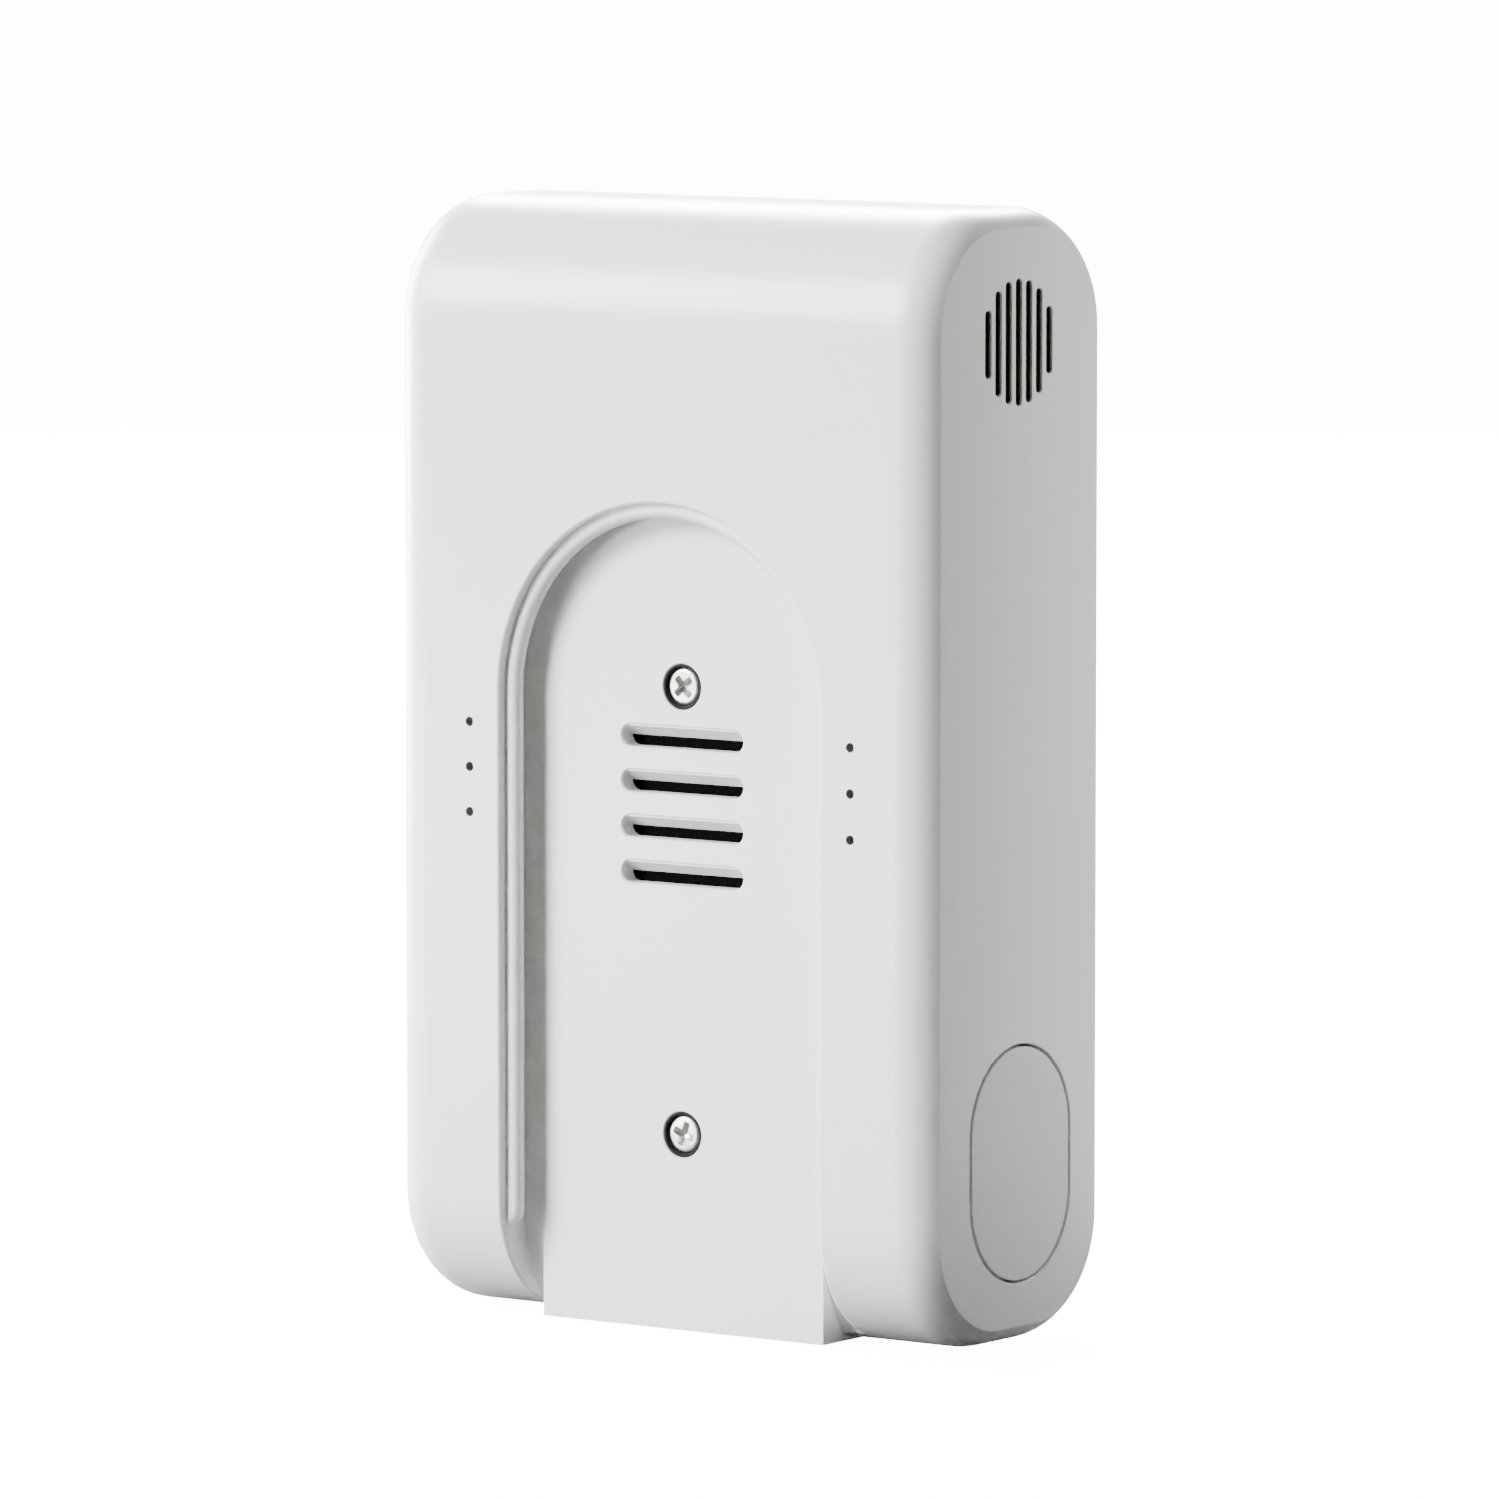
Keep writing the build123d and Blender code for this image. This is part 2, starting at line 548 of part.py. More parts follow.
def speaker_seat():
    """The round wall inside the side that the speaker sits in."""
    seat_radius = SPEAKER_DIAMETER / 2 + SPEAKER_GAP
    start = SIDE_INNER - SPEAKER_SEAT_LENGTH
    seat = side_disc(seat_radius + SPEAKER_SEAT_WALL, start, SIDE_INNER + ROOT, GRILLE_Y, GRILLE_Z)
    seat -= side_disc(seat_radius, start - PAST, SIDE_INNER, GRILLE_Y, GRILLE_Z)
    return seat - side_disc(GRILLE_RADIUS + ROOT, 0, RIGHT, GRILLE_Y, GRILLE_Z)


def rear_housing():
    """The deep tub: back, sides, top and bottom in one piece, open towards the visitor."""
    body = tub()
    body = fillet(recess_rim(body), RIM_FILLET)
    body += rail()

    for z in HOUSING_SCREW_Z:
        body += disc(SCREW_BOSS / 2, FLOOR_INNER_Y - ROOT, BOSS_END_Y, 0, z)
        body -= disc(SCREW_POCKET / 2, FLOOR_Y - PAST, SEAT_Y, 0, z)
        body -= mouth(Pos(0, z) * Circle(SCREW_POCKET / 2 + MOUTH_CHAMFER), FLOOR_Y, MOUTH_CHAMFER)
        body -= disc(SCREW_SHANK / 2 + MOVING_GAP, FLOOR_Y, BOSS_END_Y + PAST, 0, z)
    for k in range(LOUVRE_COUNT):
        body -= louvre(LOUVRE_TOP_Z - k * LOUVRE_PITCH)
    for side in (-1, 1):
        for k in range(DIMPLE_ROWS):
            z = DIMPLE_TOP_Z - k * DIMPLE_PITCH
            body -= disc(DIMPLE_DIAMETER / 2, BACK - PAST, BACK + DIMPLE_DEPTH, side * DIMPLE_X, z)
    for slot in grille_slots():
        body -= slot
    body += speaker_seat()

    body -= side_plate(key_outline(KEY_GAP), SIDE_INNER - PAST, RIGHT + PAST)
    body -= side_mouth(key_outline(KEY_GAP + KEY_EDGE), KEY_EDGE)
    bore = SMALL_SHANK / 2 + SCREW_CLEARANCE
    for y in KEY_POST_Y:
        body += side_disc(KEY_POST / 2, KEY_BOARD_FRONT, SIDE_INNER + ROOT, y, KEY_Z)
        body -= side_disc(bore, KEY_BOARD_FRONT - PAST, SIDE_INNER - KEY_POST_SKIN, y, KEY_Z)

    ledge = plate(panel_outline(LEDGE_WIDTH), LEDGE_BACK, LEDGE_FRONT + PANEL_GAP)
    body += ledge & shell(WALL / 2)
    body -= plate(panel_outline(-LEDGE_WIDTH), LEDGE_BACK - PAST, FRONT + PAST)
    body -= plate(panel_outline(PANEL_GAP), LEDGE_FRONT, FRONT + PAST)
    body -= front_mouth(panel_outline(PANEL_GAP + MOUTH_CHAMFER), MOUTH_CHAMFER)

    usb_width = USB_WIDTH + 2 * USB_HOLE_GAP
    usb_height = USB_HEIGHT + 2 * USB_HOLE_GAP
    usb_hole = Pos(0, USB_Y) * RectangleRounded(usb_width, usb_height, USB_RADIUS)
    body -= extrude(Pos(0, 0, -PAST) * usb_hole, amount=USB_BOTTOM + USB_LENGTH)
    return body


# ---------------------------------------------------------------- front panel and its seal
def front_panel():
    """The plate that closes the tub, with the visitor-side openings."""
    panel = plate(panel_outline(0), PANEL_BACK, FRONT)
    panel = fillet(panel.faces().sort_by(Axis.Y)[-1].edges(), PANEL_EDGE)
    openings = (
        (BEZEL_DIAMETER / 2 + PANEL_GAP / 2, CAMERA_Z),
        (PIR_LENS_DIAMETER / 2 + PANEL_GAP / 2, PIR_Z),
        (RING_OUTER + PANEL_GAP / 2, BELL_Z),
        (MIC_HOLE / 2, MIC_Z),
    )
    for radius, z in openings:
        panel -= disc(radius, PANEL_BACK - PAST, FRONT + PAST, 0, z)
    bore = SMALL_SHANK / 2 + SCREW_CLEARANCE
    for x, z in PANEL_HOLES:
        panel += disc(STANDOFF_DIAMETER / 2, CHASSIS_FRONT, PANEL_BACK + PANEL_GAP, x, z)
        panel -= disc(bore, CHASSIS_FRONT - PAST, CHASSIS_FRONT + SMALL_LENGTH, x, z)
    return panel


def panel_seal():
    """The rubber ring between the panel and the tub's ledge."""
    seal = plate(panel_outline(-PANEL_GAP), LEDGE_FRONT, PANEL_BACK)
    return seal - plate(panel_outline(-PANEL_GAP - SEAL_WIDTH), LEDGE_FRONT - PAST, PANEL_BACK + PAST)


# ---------------------------------------------------------------- chassis and fasteners
def chassis():
    """The inner frame that carries the boards and takes the housing screws."""
    height = CHASSIS_TOP - CHASSIS_BOTTOM
    outline = Pos(0, HEIGHT / 2) * RectangleRounded(2 * CHASSIS_HALF_WIDTH, height, CHASSIS_CORNER)
    frame = plate(outline, CHASSIS_BACK, CHASSIS_FRONT)
    tab_half = USB_BOARD_WIDTH / 2
    frame += block(-tab_half, tab_half, USB_BOARD_FRONT, CHASSIS_FRONT,
                   USB_BOARD_Z, CHASSIS_BOTTOM + USB_TAB_LAP)
    bore = SMALL_SHANK / 2 + SCREW_CLEARANCE
    screw_bottom = HEAD_BACK + SCREW_LENGTH + HOLE_BOTTOM_GAP
    for z in HOUSING_SCREW_Z:
        frame += disc(SCREW_BOSS / 2, BOSS_END_Y, CHASSIS_FRONT, 0, z)
        frame -= disc(SCREW_SHANK / 2 + SCREW_CLEARANCE, BOSS_END_Y - PAST, screw_bottom, 0, z)
    for x, z in MAIN_HOLES:
        frame += disc(STANDOFF_DIAMETER / 2, CHASSIS_FRONT - ROOT, BOARD_BACK, x, z)
        frame -= disc(bore, BOARD_FRONT - SMALL_LENGTH - HOLE_BOTTOM_GAP, BOARD_BACK + PAST, x, z)
    for x, z in CAMERA_HOLES:
        frame += disc(STANDOFF_DIAMETER / 2, CHASSIS_FRONT - ROOT, CAMERA_BOARD_BACK, x, z)
        frame -= disc(bore, CHASSIS_BACK - PAST, CAMERA_BOARD_BACK + PAST, x, z)
    for x, z in PANEL_HOLES:
        frame -= disc(SMALL_SHANK / 2 + MOVING_GAP, CHASSIS_BACK - PAST, CHASSIS_FRONT + PAST, x, z)
    return frame


def housing_screws():
    """The two cross-headed screws in the recess, which hold the chassis."""
    top = HEAD_BACK - SCREW_HEAD_HEIGHT
    arm = CROSS_LENGTH / 2
    screws = []
    for z in HOUSING_SCREW_Z:
        head = disc(SCREW_HEAD / 2, top, HEAD_BACK, 0, z)
        head = fillet(head.faces().sort_by(Axis.Y)[0].edges(), SCREW_HEAD_EDGE)
        shank = disc(SCREW_SHANK / 2, HEAD_BACK, HEAD_BACK + SCREW_LENGTH, 0, z)
        slot = block(-arm, arm, top - PAST, top + CROSS_DEPTH, z - CROSS_WIDTH / 2, z + CROSS_WIDTH / 2)
        crossed = Pos(0, 0, z) * Rot(0, 90, 0) * Pos(0, 0, -z) * slot
        screws.append(head + shank - slot - crossed)
    return Compound(children=screws)


def screw_seals():
    """The rubber cups that the heads of the housing screws press into their pockets."""
    outer = SCREW_POCKET / 2 - SCREW_CLEARANCE
    seals = []
    for z in HOUSING_SCREW_Z:
        base = ring(outer, SCREW_SHANK / 2 + SCREW_CLEARANCE, HEAD_BACK, SEAT_Y, 0, z)
        rim = ring(outer, SCREW_HEAD / 2 + SCREW_CLEARANCE, FLOOR_Y + SCREW_SEAL_DROP, SEAT_Y, 0, z)
        seals.append(base + rim)
    return Compound(children=seals)


def board_screws():
    """The screws of the main board."""
    return Compound(children=[small_screw(x, BOARD_FRONT, z) for x, z in MAIN_HOLES])


def camera_screws():
    """Two screws that hold the camera board, on a diagonal."""
    places = (CAMERA_HOLES[0], CAMERA_HOLES[3])
    return Compound(children=[small_screw(x, CAMERA_BOARD_FRONT, z) for x, z in places])


def panel_screws():
    """The screws from behind the chassis into the panel's posts."""
    turned = [Pos(x, CHASSIS_BACK, z) * Rot(180, 0, 0) * small_screw(0, 0, 0) for x, z in PANEL_HOLES]
    return Compound(children=turned)


def key_screws():
    """The screws of the side key's board."""
    turned = [Pos(KEY_BOARD_BACK, y, KEY_Z) * Rot(0, 0, 90) * small_screw(0, 0, 0) for y in KEY_POST_Y]
    return Compound(children=turned)


# ---------------------------------------------------------------- battery
def battery_pack():
    """The wrapped lithium pack."""
    outline = Pos(0, PACK_Z) * RectangleRounded(2 * PACK_HALF_WIDTH, PACK_HEIGHT, PACK_CORNER)
    pack = plate(outline, PACK_BACK, PACK_FRONT)
    return fillet(pack.edges().filter_by(Axis.Y, reverse=True), PACK_EDGE)


def battery_tape():
    """Two foam strips between the pack and the recess floor."""
    reach = PACK_HEIGHT / 2 - TAPE_END_GAP
    strips = []
    for x0 in (-TAPE_INNER_X - TAPE_WIDTH, TAPE_INNER_X):
        strips.append(block(x0, x0 + TAPE_WIDTH, FLOOR_INNER_Y, PACK_BACK, PACK_Z - reach, PACK_Z + reach))
    return Compound(children=strips)


# ---------------------------------------------------------------- main board
def main_board():
    """The main circuit board, on the chassis posts."""
    board = block(-BOARD_HALF_WIDTH, BOARD_HALF_WIDTH, BOARD_BACK, BOARD_FRONT, BOARD_BOTTOM, BOARD_TOP)
    for x, z in MAIN_HOLES:
        board -= disc(SMALL_SHANK / 2 + MOVING_GAP, BOARD_BACK - PAST, BOARD_FRONT + PAST, x, z)
    for x, z in PANEL_HOLES:
        board -= disc(STANDOFF_DIAMETER / 2 + MOVING_GAP, BOARD_BACK - PAST, BOARD_FRONT + PAST, x, z)
    return board


def shield_can():
    """The folded metal lid over the radio."""
    x1 = -PIR_FLANGE / 2 - COMPONENT_GAP
    x0 = x1 - SHIELD_WIDTH
    z0 = SHIELD_Z - SHIELD_LENGTH / 2
    z1 = z0 + SHIELD_LENGTH
    top = BOARD_FRONT + SHIELD_HEIGHT
    inside = block(x0 + SHIELD_WALL, x1 - SHIELD_WALL, BOARD_FRONT - PAST, top - SHIELD_WALL,
                   z0 + SHIELD_WALL, z1 - SHIELD_WALL)
    return block(x0, x1, BOARD_FRONT, top, z0, z1) - inside


def board_chips():
    """Processor, memory and charger chips."""
    beside_pir = PIR_FLANGE / 2 + COMPONENT_GAP
    processor_z = SHIELD_Z + SHIELD_LENGTH / 2 - PROCESSOR_SIZE / 2
    memory_z = processor_z - PROCESSOR_SIZE / 2 - COMPONENT_GAP - MEMORY_SIZE / 2
    charger_z = BOARD_BOTTOM + COMPONENT_GAP + CHARGER_SIZE / 2
    places = (
        (PROCESSOR_SIZE, beside_pir, processor_z),
        (MEMORY_SIZE, beside_pir, memory_z),
        (CHARGER_SIZE, CHARGER_X, charger_z),
    )
    top = BOARD_FRONT + CHIP_HEIGHT
    chips = [block(x, x + size, BOARD_FRONT, top, z - size / 2, z + size / 2) for size, x, z in places]
    return Compound(children=chips)


def board_sockets():
    """Sockets for the battery, speaker and camera leads, behind the main board."""
    z1 = BOARD_TOP - SOCKET_FROM_EDGE + SOCKET_LENGTH / 2
    z0 = z1 - SOCKET_LENGTH
    back = BOARD_BACK - SOCKET_HEIGHT
    edge_x = BOARD_HALF_WIDTH - SOCKET_FROM_EDGE
    sockets = []
    for x, width in ((-edge_x, BATTERY_SOCKET), (0, CAMERA_SOCKET), (edge_x, SPEAKER_SOCKET)):
        half = width / 2
        room = block(x - half + SOCKET_WALL, x + half - SOCKET_WALL, back + SOCKET_WALL,
                     BOARD_BACK - SOCKET_WALL, z0 + SOCKET_LENGTH / 2, z1 + PAST)
        sockets.append(block(x - half, x + half, back, BOARD_BACK, z0, z1) - room)
    return Compound(children=sockets)


def antenna():
    """The printed aerial beside the camera board."""
    x1 = -CAMERA_BOARD_SIZE / 2 - ANTENNA_GAP
    z0 = CAMERA_Z - ANTENNA_HEIGHT / 2
    top = CHASSIS_FRONT + ANTENNA_THICKNESS
    return block(x1 - ANTENNA_WIDTH, x1, CHASSIS_FRONT, top, z0, z0 + ANTENNA_HEIGHT)


# ---------------------------------------------------------------- camera
def camera_board():
    """The small board behind the lens."""
    half = CAMERA_BOARD_SIZE / 2
    board = block(-half, half, CAMERA_BOARD_BACK, CAMERA_BOARD_FRONT, CAMERA_Z - half, CAMERA_Z + half)
    bore = SMALL_SHANK / 2 + MOVING_GAP
    for x, z in CAMERA_HOLES:
        board -= disc(bore, CAMERA_BOARD_BACK - PAST, CAMERA_BOARD_FRONT + PAST, x, z)
    return board


def image_sensor():
    """The sensor chip under the lens holder."""
    half = SENSOR_SIZE / 2
    top = CAMERA_BOARD_FRONT + SENSOR_THICKNESS
    return block(-half, half, CAMERA_BOARD_FRONT, top, CAMERA_Z - half, CAMERA_Z + half)


def lens_holder():
    """The square mount that the barrel screws into."""
    half = HOLDER_SIZE / 2
    base_top = CAMERA_BOARD_FRONT + HOLDER_LENGTH / 2
    room_top = CAMERA_BOARD_FRONT + SENSOR_THICKNESS + SENSOR_HEADROOM
    pocket = SENSOR_SIZE / 2 + SENSOR_ROOM
    holder = block(-half, half, CAMERA_BOARD_FRONT, base_top, CAMERA_Z - half, CAMERA_Z + half)
    holder += disc(half, base_top - ROOT, HOLDER_FRONT, 0, CAMERA_Z)
    holder -= disc(BARREL_DIAMETER / 2 + SCREW_CLEARANCE, room_top, HOLDER_FRONT + PAST, 0, CAMERA_Z)
    holder -= block(-pocket, pocket, CAMERA_BOARD_FRONT - PAST, room_top,
                    CAMERA_Z - pocket, CAMERA_Z + pocket)
    return holder


def lens_barrel():
    """The lens tube, stepped at its mouth."""
    barrel = ring(BARREL_DIAMETER / 2, BARREL_BORE / 2, BARREL_BACK, BARREL_FRONT, 0, CAMERA_Z)
    step = BARREL_BORE / 2 + BARREL_MOUTH_STEP
    return barrel - disc(step, BARREL_FRONT - LENS_SETBACK, BARREL_FRONT + PAST, 0, CAMERA_Z)


def lens_glass():
    """The domed front element."""
    crown = BARREL_FRONT - LENS_FRONT_GAP
    back = BARREL_FRONT - LENS_SETBACK - LENS_THICKNESS
    glass = disc(BARREL_BORE / 2 - LENS_FIT, back, crown, 0, CAMERA_Z)
    return glass & Pos(0, crown - LENS_DOME_RADIUS, CAMERA_Z) * Sphere(LENS_DOME_RADIUS)


def camera_bezel():
    """The round trim that carries the camera window and the night-vision openings."""
    back = FRONT - BEZEL_THICKNESS
    bezel = disc(BEZEL_DIAMETER / 2, back, FRONT, 0, CAMERA_Z)
    bezel = fillet(bezel.faces().sort_by(Axis.Y)[-1].edges(), PANEL_EDGE)
    bezel -= disc(WINDOW_DIAMETER / 2 + PANEL_GAP / 2, WINDOW_BACK, FRONT + PAST, 0, CAMERA_Z)
    bezel -= disc(WINDOW_DIAMETER / 2 - WINDOW_SEAT, back - PAST, FRONT + PAST, 0, CAMERA_Z)
    for x, z in emitter_places():
        bezel -= disc(EMITTER_DIAMETER / 2 + MOVING_GAP, back - PAST, FRONT + PAST, x, z)
    return bezel - disc(LIGHT_SENSOR_SIZE / 2, back - PAST, FRONT + PAST, 0, CAMERA_Z + EMITTER_CIRCLE / 2)


def camera_window():
    """The clear cover glass."""
    return disc(WINDOW_DIAMETER / 2, WINDOW_BACK, WINDOW_FRONT, 0, CAMERA_Z)


def emitter_places():
    """The night-vision emitters stand on a circle around the lens."""
    places = []
    for k in range(EMITTER_COUNT):
        angle = radians(45 + k * 360 / EMITTER_COUNT)
        reach = EMITTER_CIRCLE / 2
        places.append((reach * cos(angle), CAMERA_Z + reach * sin(angle)))
    return places


def emitter_board():
    """The ring board of the night-vision emitters, around the barrel."""
    back = EMITTER_BOARD_FRONT - BOARD_THICKNESS
    bore = EMITTER_BOARD_BORE / 2
    return ring(EMITTER_BOARD_DIAMETER / 2, bore, back, EMITTER_BOARD_FRONT, 0, CAMERA_Z)


def emitters():
    """Round-nosed infrared emitters."""
    nose = EMITTER_DIAMETER / 2
    shoulder = FRONT - EMITTER_SETBACK - nose
    lamps = []
    for x, z in emitter_places():
        lamps.append(disc(nose, EMITTER_BOARD_FRONT, shoulder, x, z) + Pos(x, shoulder, z) * Sphere(nose))
    return Compound(children=lamps)


def light_sensor():
    """The day and night sensor above the lens."""
    half = LIGHT_SENSOR_SIZE / 2
    z = CAMERA_Z + EMITTER_CIRCLE / 2
    top = EMITTER_BOARD_FRONT + LIGHT_SENSOR_HEIGHT
    return block(-half, half, EMITTER_BOARD_FRONT, top, z - half, z + half)


# ---------------------------------------------------------------- motion sensor and microphone
def pir_lens():
    """The milky domed lens of the motion sensor."""
    radius = PIR_LENS_DIAMETER / 2
    back = PANEL_BACK - PIR_FLANGE_THICKNESS
    dome = Pos(0, FRONT - BELL_SETBACK - PIR_DOME_RADIUS, PIR_Z)
    outer = disc(radius, back, FRONT, 0, PIR_Z) & dome * Sphere(PIR_DOME_RADIUS)
    hollow = disc(radius - PIR_LENS_WALL, back - PAST, FRONT, 0, PIR_Z)
    hollow &= dome * Sphere(PIR_DOME_RADIUS - PIR_LENS_WALL)
    return disc(PIR_FLANGE / 2, back, PANEL_BACK, 0, PIR_Z) + outer - hollow


def pir_sensor():
    """The metal can of the motion sensor."""
    can = disc(PIR_CAN_DIAMETER / 2, BOARD_FRONT, BOARD_FRONT + PIR_CAN_HEIGHT, 0, PIR_Z)
    return fillet(can.faces().sort_by(Axis.Y)[-1].edges(), CAN_EDGE)


def microphone():
    """The microphone on the main board."""
    half = MIC_SIZE / 2
    low = MIC_Z - MIC_DEPTH / 2
    return block(-half, half, BOARD_FRONT, BOARD_FRONT + MIC_HEIGHT, low, low + MIC_DEPTH)


def mic_boot():
    """The rubber tube from the panel's hole to the microphone."""
    bore = MIC_BOOT_DIAMETER / 2 - MIC_BOOT_WALL
    return ring(MIC_BOOT_DIAMETER / 2, bore, BOARD_FRONT + MIC_HEIGHT, PANEL_BACK, 0, MIC_Z)


# ---------------------------------------------------------------- bell button
def bell_button():
    """The round push button, with its flange and plunger."""
    face = FRONT - BELL_SETBACK
    cap = disc(BELL_DIAMETER / 2, BELL_FLANGE_FRONT - ROOT, face, 0, BELL_Z)
    cap = fillet(cap.faces().sort_by(Axis.Y)[-1].edges(), BELL_EDGE)
    cap -= Pos(0, face - BELL_DISH_DEPTH + BELL_DISH_RADIUS, BELL_Z) * Sphere(BELL_DISH_RADIUS)
    cap += disc(BELL_DIAMETER / 2 + BELL_LIP, BELL_FLANGE_BACK, BELL_FLANGE_FRONT, 0, BELL_Z)
    return cap + disc(PLUNGER_DIAMETER / 2, BELL_PLUNGER_END, BELL_FLANGE_BACK + ROOT, 0, BELL_Z)


def button_ring():
    """The light guide around the bell button."""
    guide = disc(RING_OUTER, RING_FLANGE_BACK, FRONT, 0, BELL_Z)
    guide = fillet(guide.faces().sort_by(Axis.Y)[-1].edges(), PANEL_EDGE)
    guide += disc(RING_FLANGE_RADIUS, RING_FLANGE_BACK, PANEL_BACK, 0, BELL_Z)
    return guide - disc(RING_INNER, RING_FLANGE_BACK - PAST, FRONT + PAST, 0, BELL_Z)


def bell_spring():
    """The rubber ring that returns the bell button."""
    outer = BELL_SPRING_DIAMETER / 2
    return ring(outer, outer - BELL_SPRING_WALL, BOARD_FRONT, BELL_FLANGE_BACK, 0, BELL_Z)


def bell_switch():
    """The tactile switch under the bell button."""
    half = SWITCH_SIZE / 2
    body = block(-half, half, BOARD_FRONT, BOARD_FRONT + SWITCH_HEIGHT, BELL_Z - half, BELL_Z + half)
    return body + disc(STEM_DIAMETER / 2, BOARD_FRONT + SWITCH_HEIGHT - ROOT, SWITCH_TOP, 0, BELL_Z)


def ring_leds():
    """The lamps under the light guide."""
    lamps = []
    half = RING_LED_SIZE / 2
    reach = (RING_INNER + RING_OUTER) / 2
    for k in range(RING_LED_COUNT):
        angle = radians(RING_LED_START + k * 360 / RING_LED_COUNT)
        x = reach * cos(angle)
        z = BELL_Z + reach * sin(angle)
        top = BOARD_FRONT + RING_LED_HEIGHT
        lamps.append(block(x - half, x + half, BOARD_FRONT, top, z - half, z + half))
    return Compound(children=lamps)


# ---------------------------------------------------------------- side key
def side_key():
    """The flush stadium-shaped key, with a lip that holds it in the housing."""
    cap = side_plate(key_outline(0), RIGHT - KEY_CAP, RIGHT)
    cap = fillet(cap.faces().sort_by(Axis.X)[-1].edges(), KEY_EDGE)
    cap += side_plate(key_outline(0, KEY_LIP), KEY_LIP_BACK, KEY_LIP_FRONT)
    cap += side_plate(key_outline(0), KEY_LIP_BACK, RIGHT - KEY_CAP + ROOT)
    return cap + side_disc(PLUNGER_DIAMETER / 2, KEY_PLUNGER_END, KEY_LIP_BACK + ROOT, KEY_Y, KEY_Z)


def key_spring():
    """The rubber ring that returns the side key."""
    outer = KEY_SPRING_DIAMETER / 2
    tube = side_disc(outer, KEY_BOARD_FRONT, KEY_LIP_BACK, KEY_Y, KEY_Z)
    bore = outer - KEY_SPRING_WALL
    return tube - side_disc(bore, KEY_BOARD_FRONT - PAST, KEY_LIP_BACK + PAST, KEY_Y, KEY_Z)


def key_switch():
    """The tactile switch under the side key."""
    half = KEY_SWITCH_SIZE / 2
    body = block(KEY_BOARD_FRONT, KEY_SWITCH_FRONT, KEY_Y - half, KEY_Y + half, KEY_Z - half, KEY_Z + half)
    return body + side_disc(STEM_DIAMETER / 2, KEY_SWITCH_FRONT - ROOT, KEY_STEM_TOP, KEY_Y, KEY_Z)


def key_board():
    """The small board on two posts behind the side key."""
    half = KEY_POST_SPACING / 2 + KEY_POST / 2
    board = block(KEY_BOARD_BACK, KEY_BOARD_FRONT, KEY_Y - half, KEY_Y + half,
                  KEY_Z - KEY_BOARD_HEIGHT / 2, KEY_Z + KEY_BOARD_HEIGHT / 2)
    bore = SMALL_SHANK / 2 + SCREW_CLEARANCE
    for y in KEY_POST_Y:
        board -= side_disc(bore, KEY_BOARD_BACK - PAST, KEY_BOARD_FRONT + PAST, y, KEY_Z)
    return board


# ---------------------------------------------------------------- speaker
def speaker_mesh():
    """The dust cloth behind the side grille."""
    radius = GRILLE_RADIUS + GRILLE_MESH_LAP
    return side_disc(radius, SIDE_INNER - GRILLE_MESH, SIDE_INNER, GRILLE_Y, GRILLE_Z)


def speaker_gasket():
    """The foam ring between speaker and side wall."""
    outer = side_disc(SPEAKER_DIAMETER / 2, SPEAKER_FACE, SIDE_INNER, GRILLE_Y, GRILLE_Z)
    bore = GRILLE_RADIUS + GRILLE_CLEAR
    return outer - side_disc(bore, SPEAKER_FACE - PAST, SIDE_INNER + PAST, GRILLE_Y, GRILLE_Z)


def speaker_frame():
    """The speaker's cup."""
    cup = side_disc(SPEAKER_DIAMETER / 2, SPEAKER_BACK, SPEAKER_FACE, GRILLE_Y, GRILLE_Z)
    hollow = SPEAKER_DIAMETER / 2 - SPEAKER_RIM
    return cup - side_disc(hollow, SPEAKER_BACK + SPEAKER_BASE, SPEAKER_FACE + PAST, GRILLE_Y, GRILLE_Z)


def speaker_cone():
    """The moving paper cone and dust cap, drawn at rest."""
    radius = SPEAKER_DIAMETER / 2 - SPEAKER_RIM - CONE_GAP
    face = SPEAKER_FACE - CONE_SETBACK
    neck = face - CONE_DEPTH
    crown = neck + DUST_CAP_RISE
    front = [(radius, face), (CONE_THROAT, neck), (0, crown)]
    back = [(x, y - CONE_THICKNESS) for x, y in reversed(front)]
    cone = revolve(make_face(Polyline(*front, *back, front[0])), Axis.Y, 360)
    return Pos(0, GRILLE_Y, GRILLE_Z) * Rot(0, 0, -90) * cone


def speaker_magnet():
    """The magnet behind the cup."""
    magnet = side_disc(MAGNET_DIAMETER / 2, SPEAKER_BACK - MAGNET_HEIGHT, SPEAKER_BACK, GRILLE_Y, GRILLE_Z)
    return fillet(magnet.faces().sort_by(Axis.X)[0].edges(), CAN_EDGE)


# ---------------------------------------------------------------- louvre cloth and charging socket
def louvre_mesh():
    """The dark cloth behind the louvres."""
    top = LOUVRE_TOP_Z + LOUVRE_HEIGHT / 2 - LOUVRE_ROOF_DROP
    bottom = LOUVRE_TOP_Z - (LOUVRE_COUNT - 1) * LOUVRE_PITCH - LOUVRE_HEIGHT / 2
    half = LOUVRE_LENGTH / 2 + MESH_LAP
    back = FLOOR_INNER_Y + LOUVRE_MESH
    return block(-half, half, FLOOR_INNER_Y, back, bottom - MESH_LAP, top + MESH_LAP)


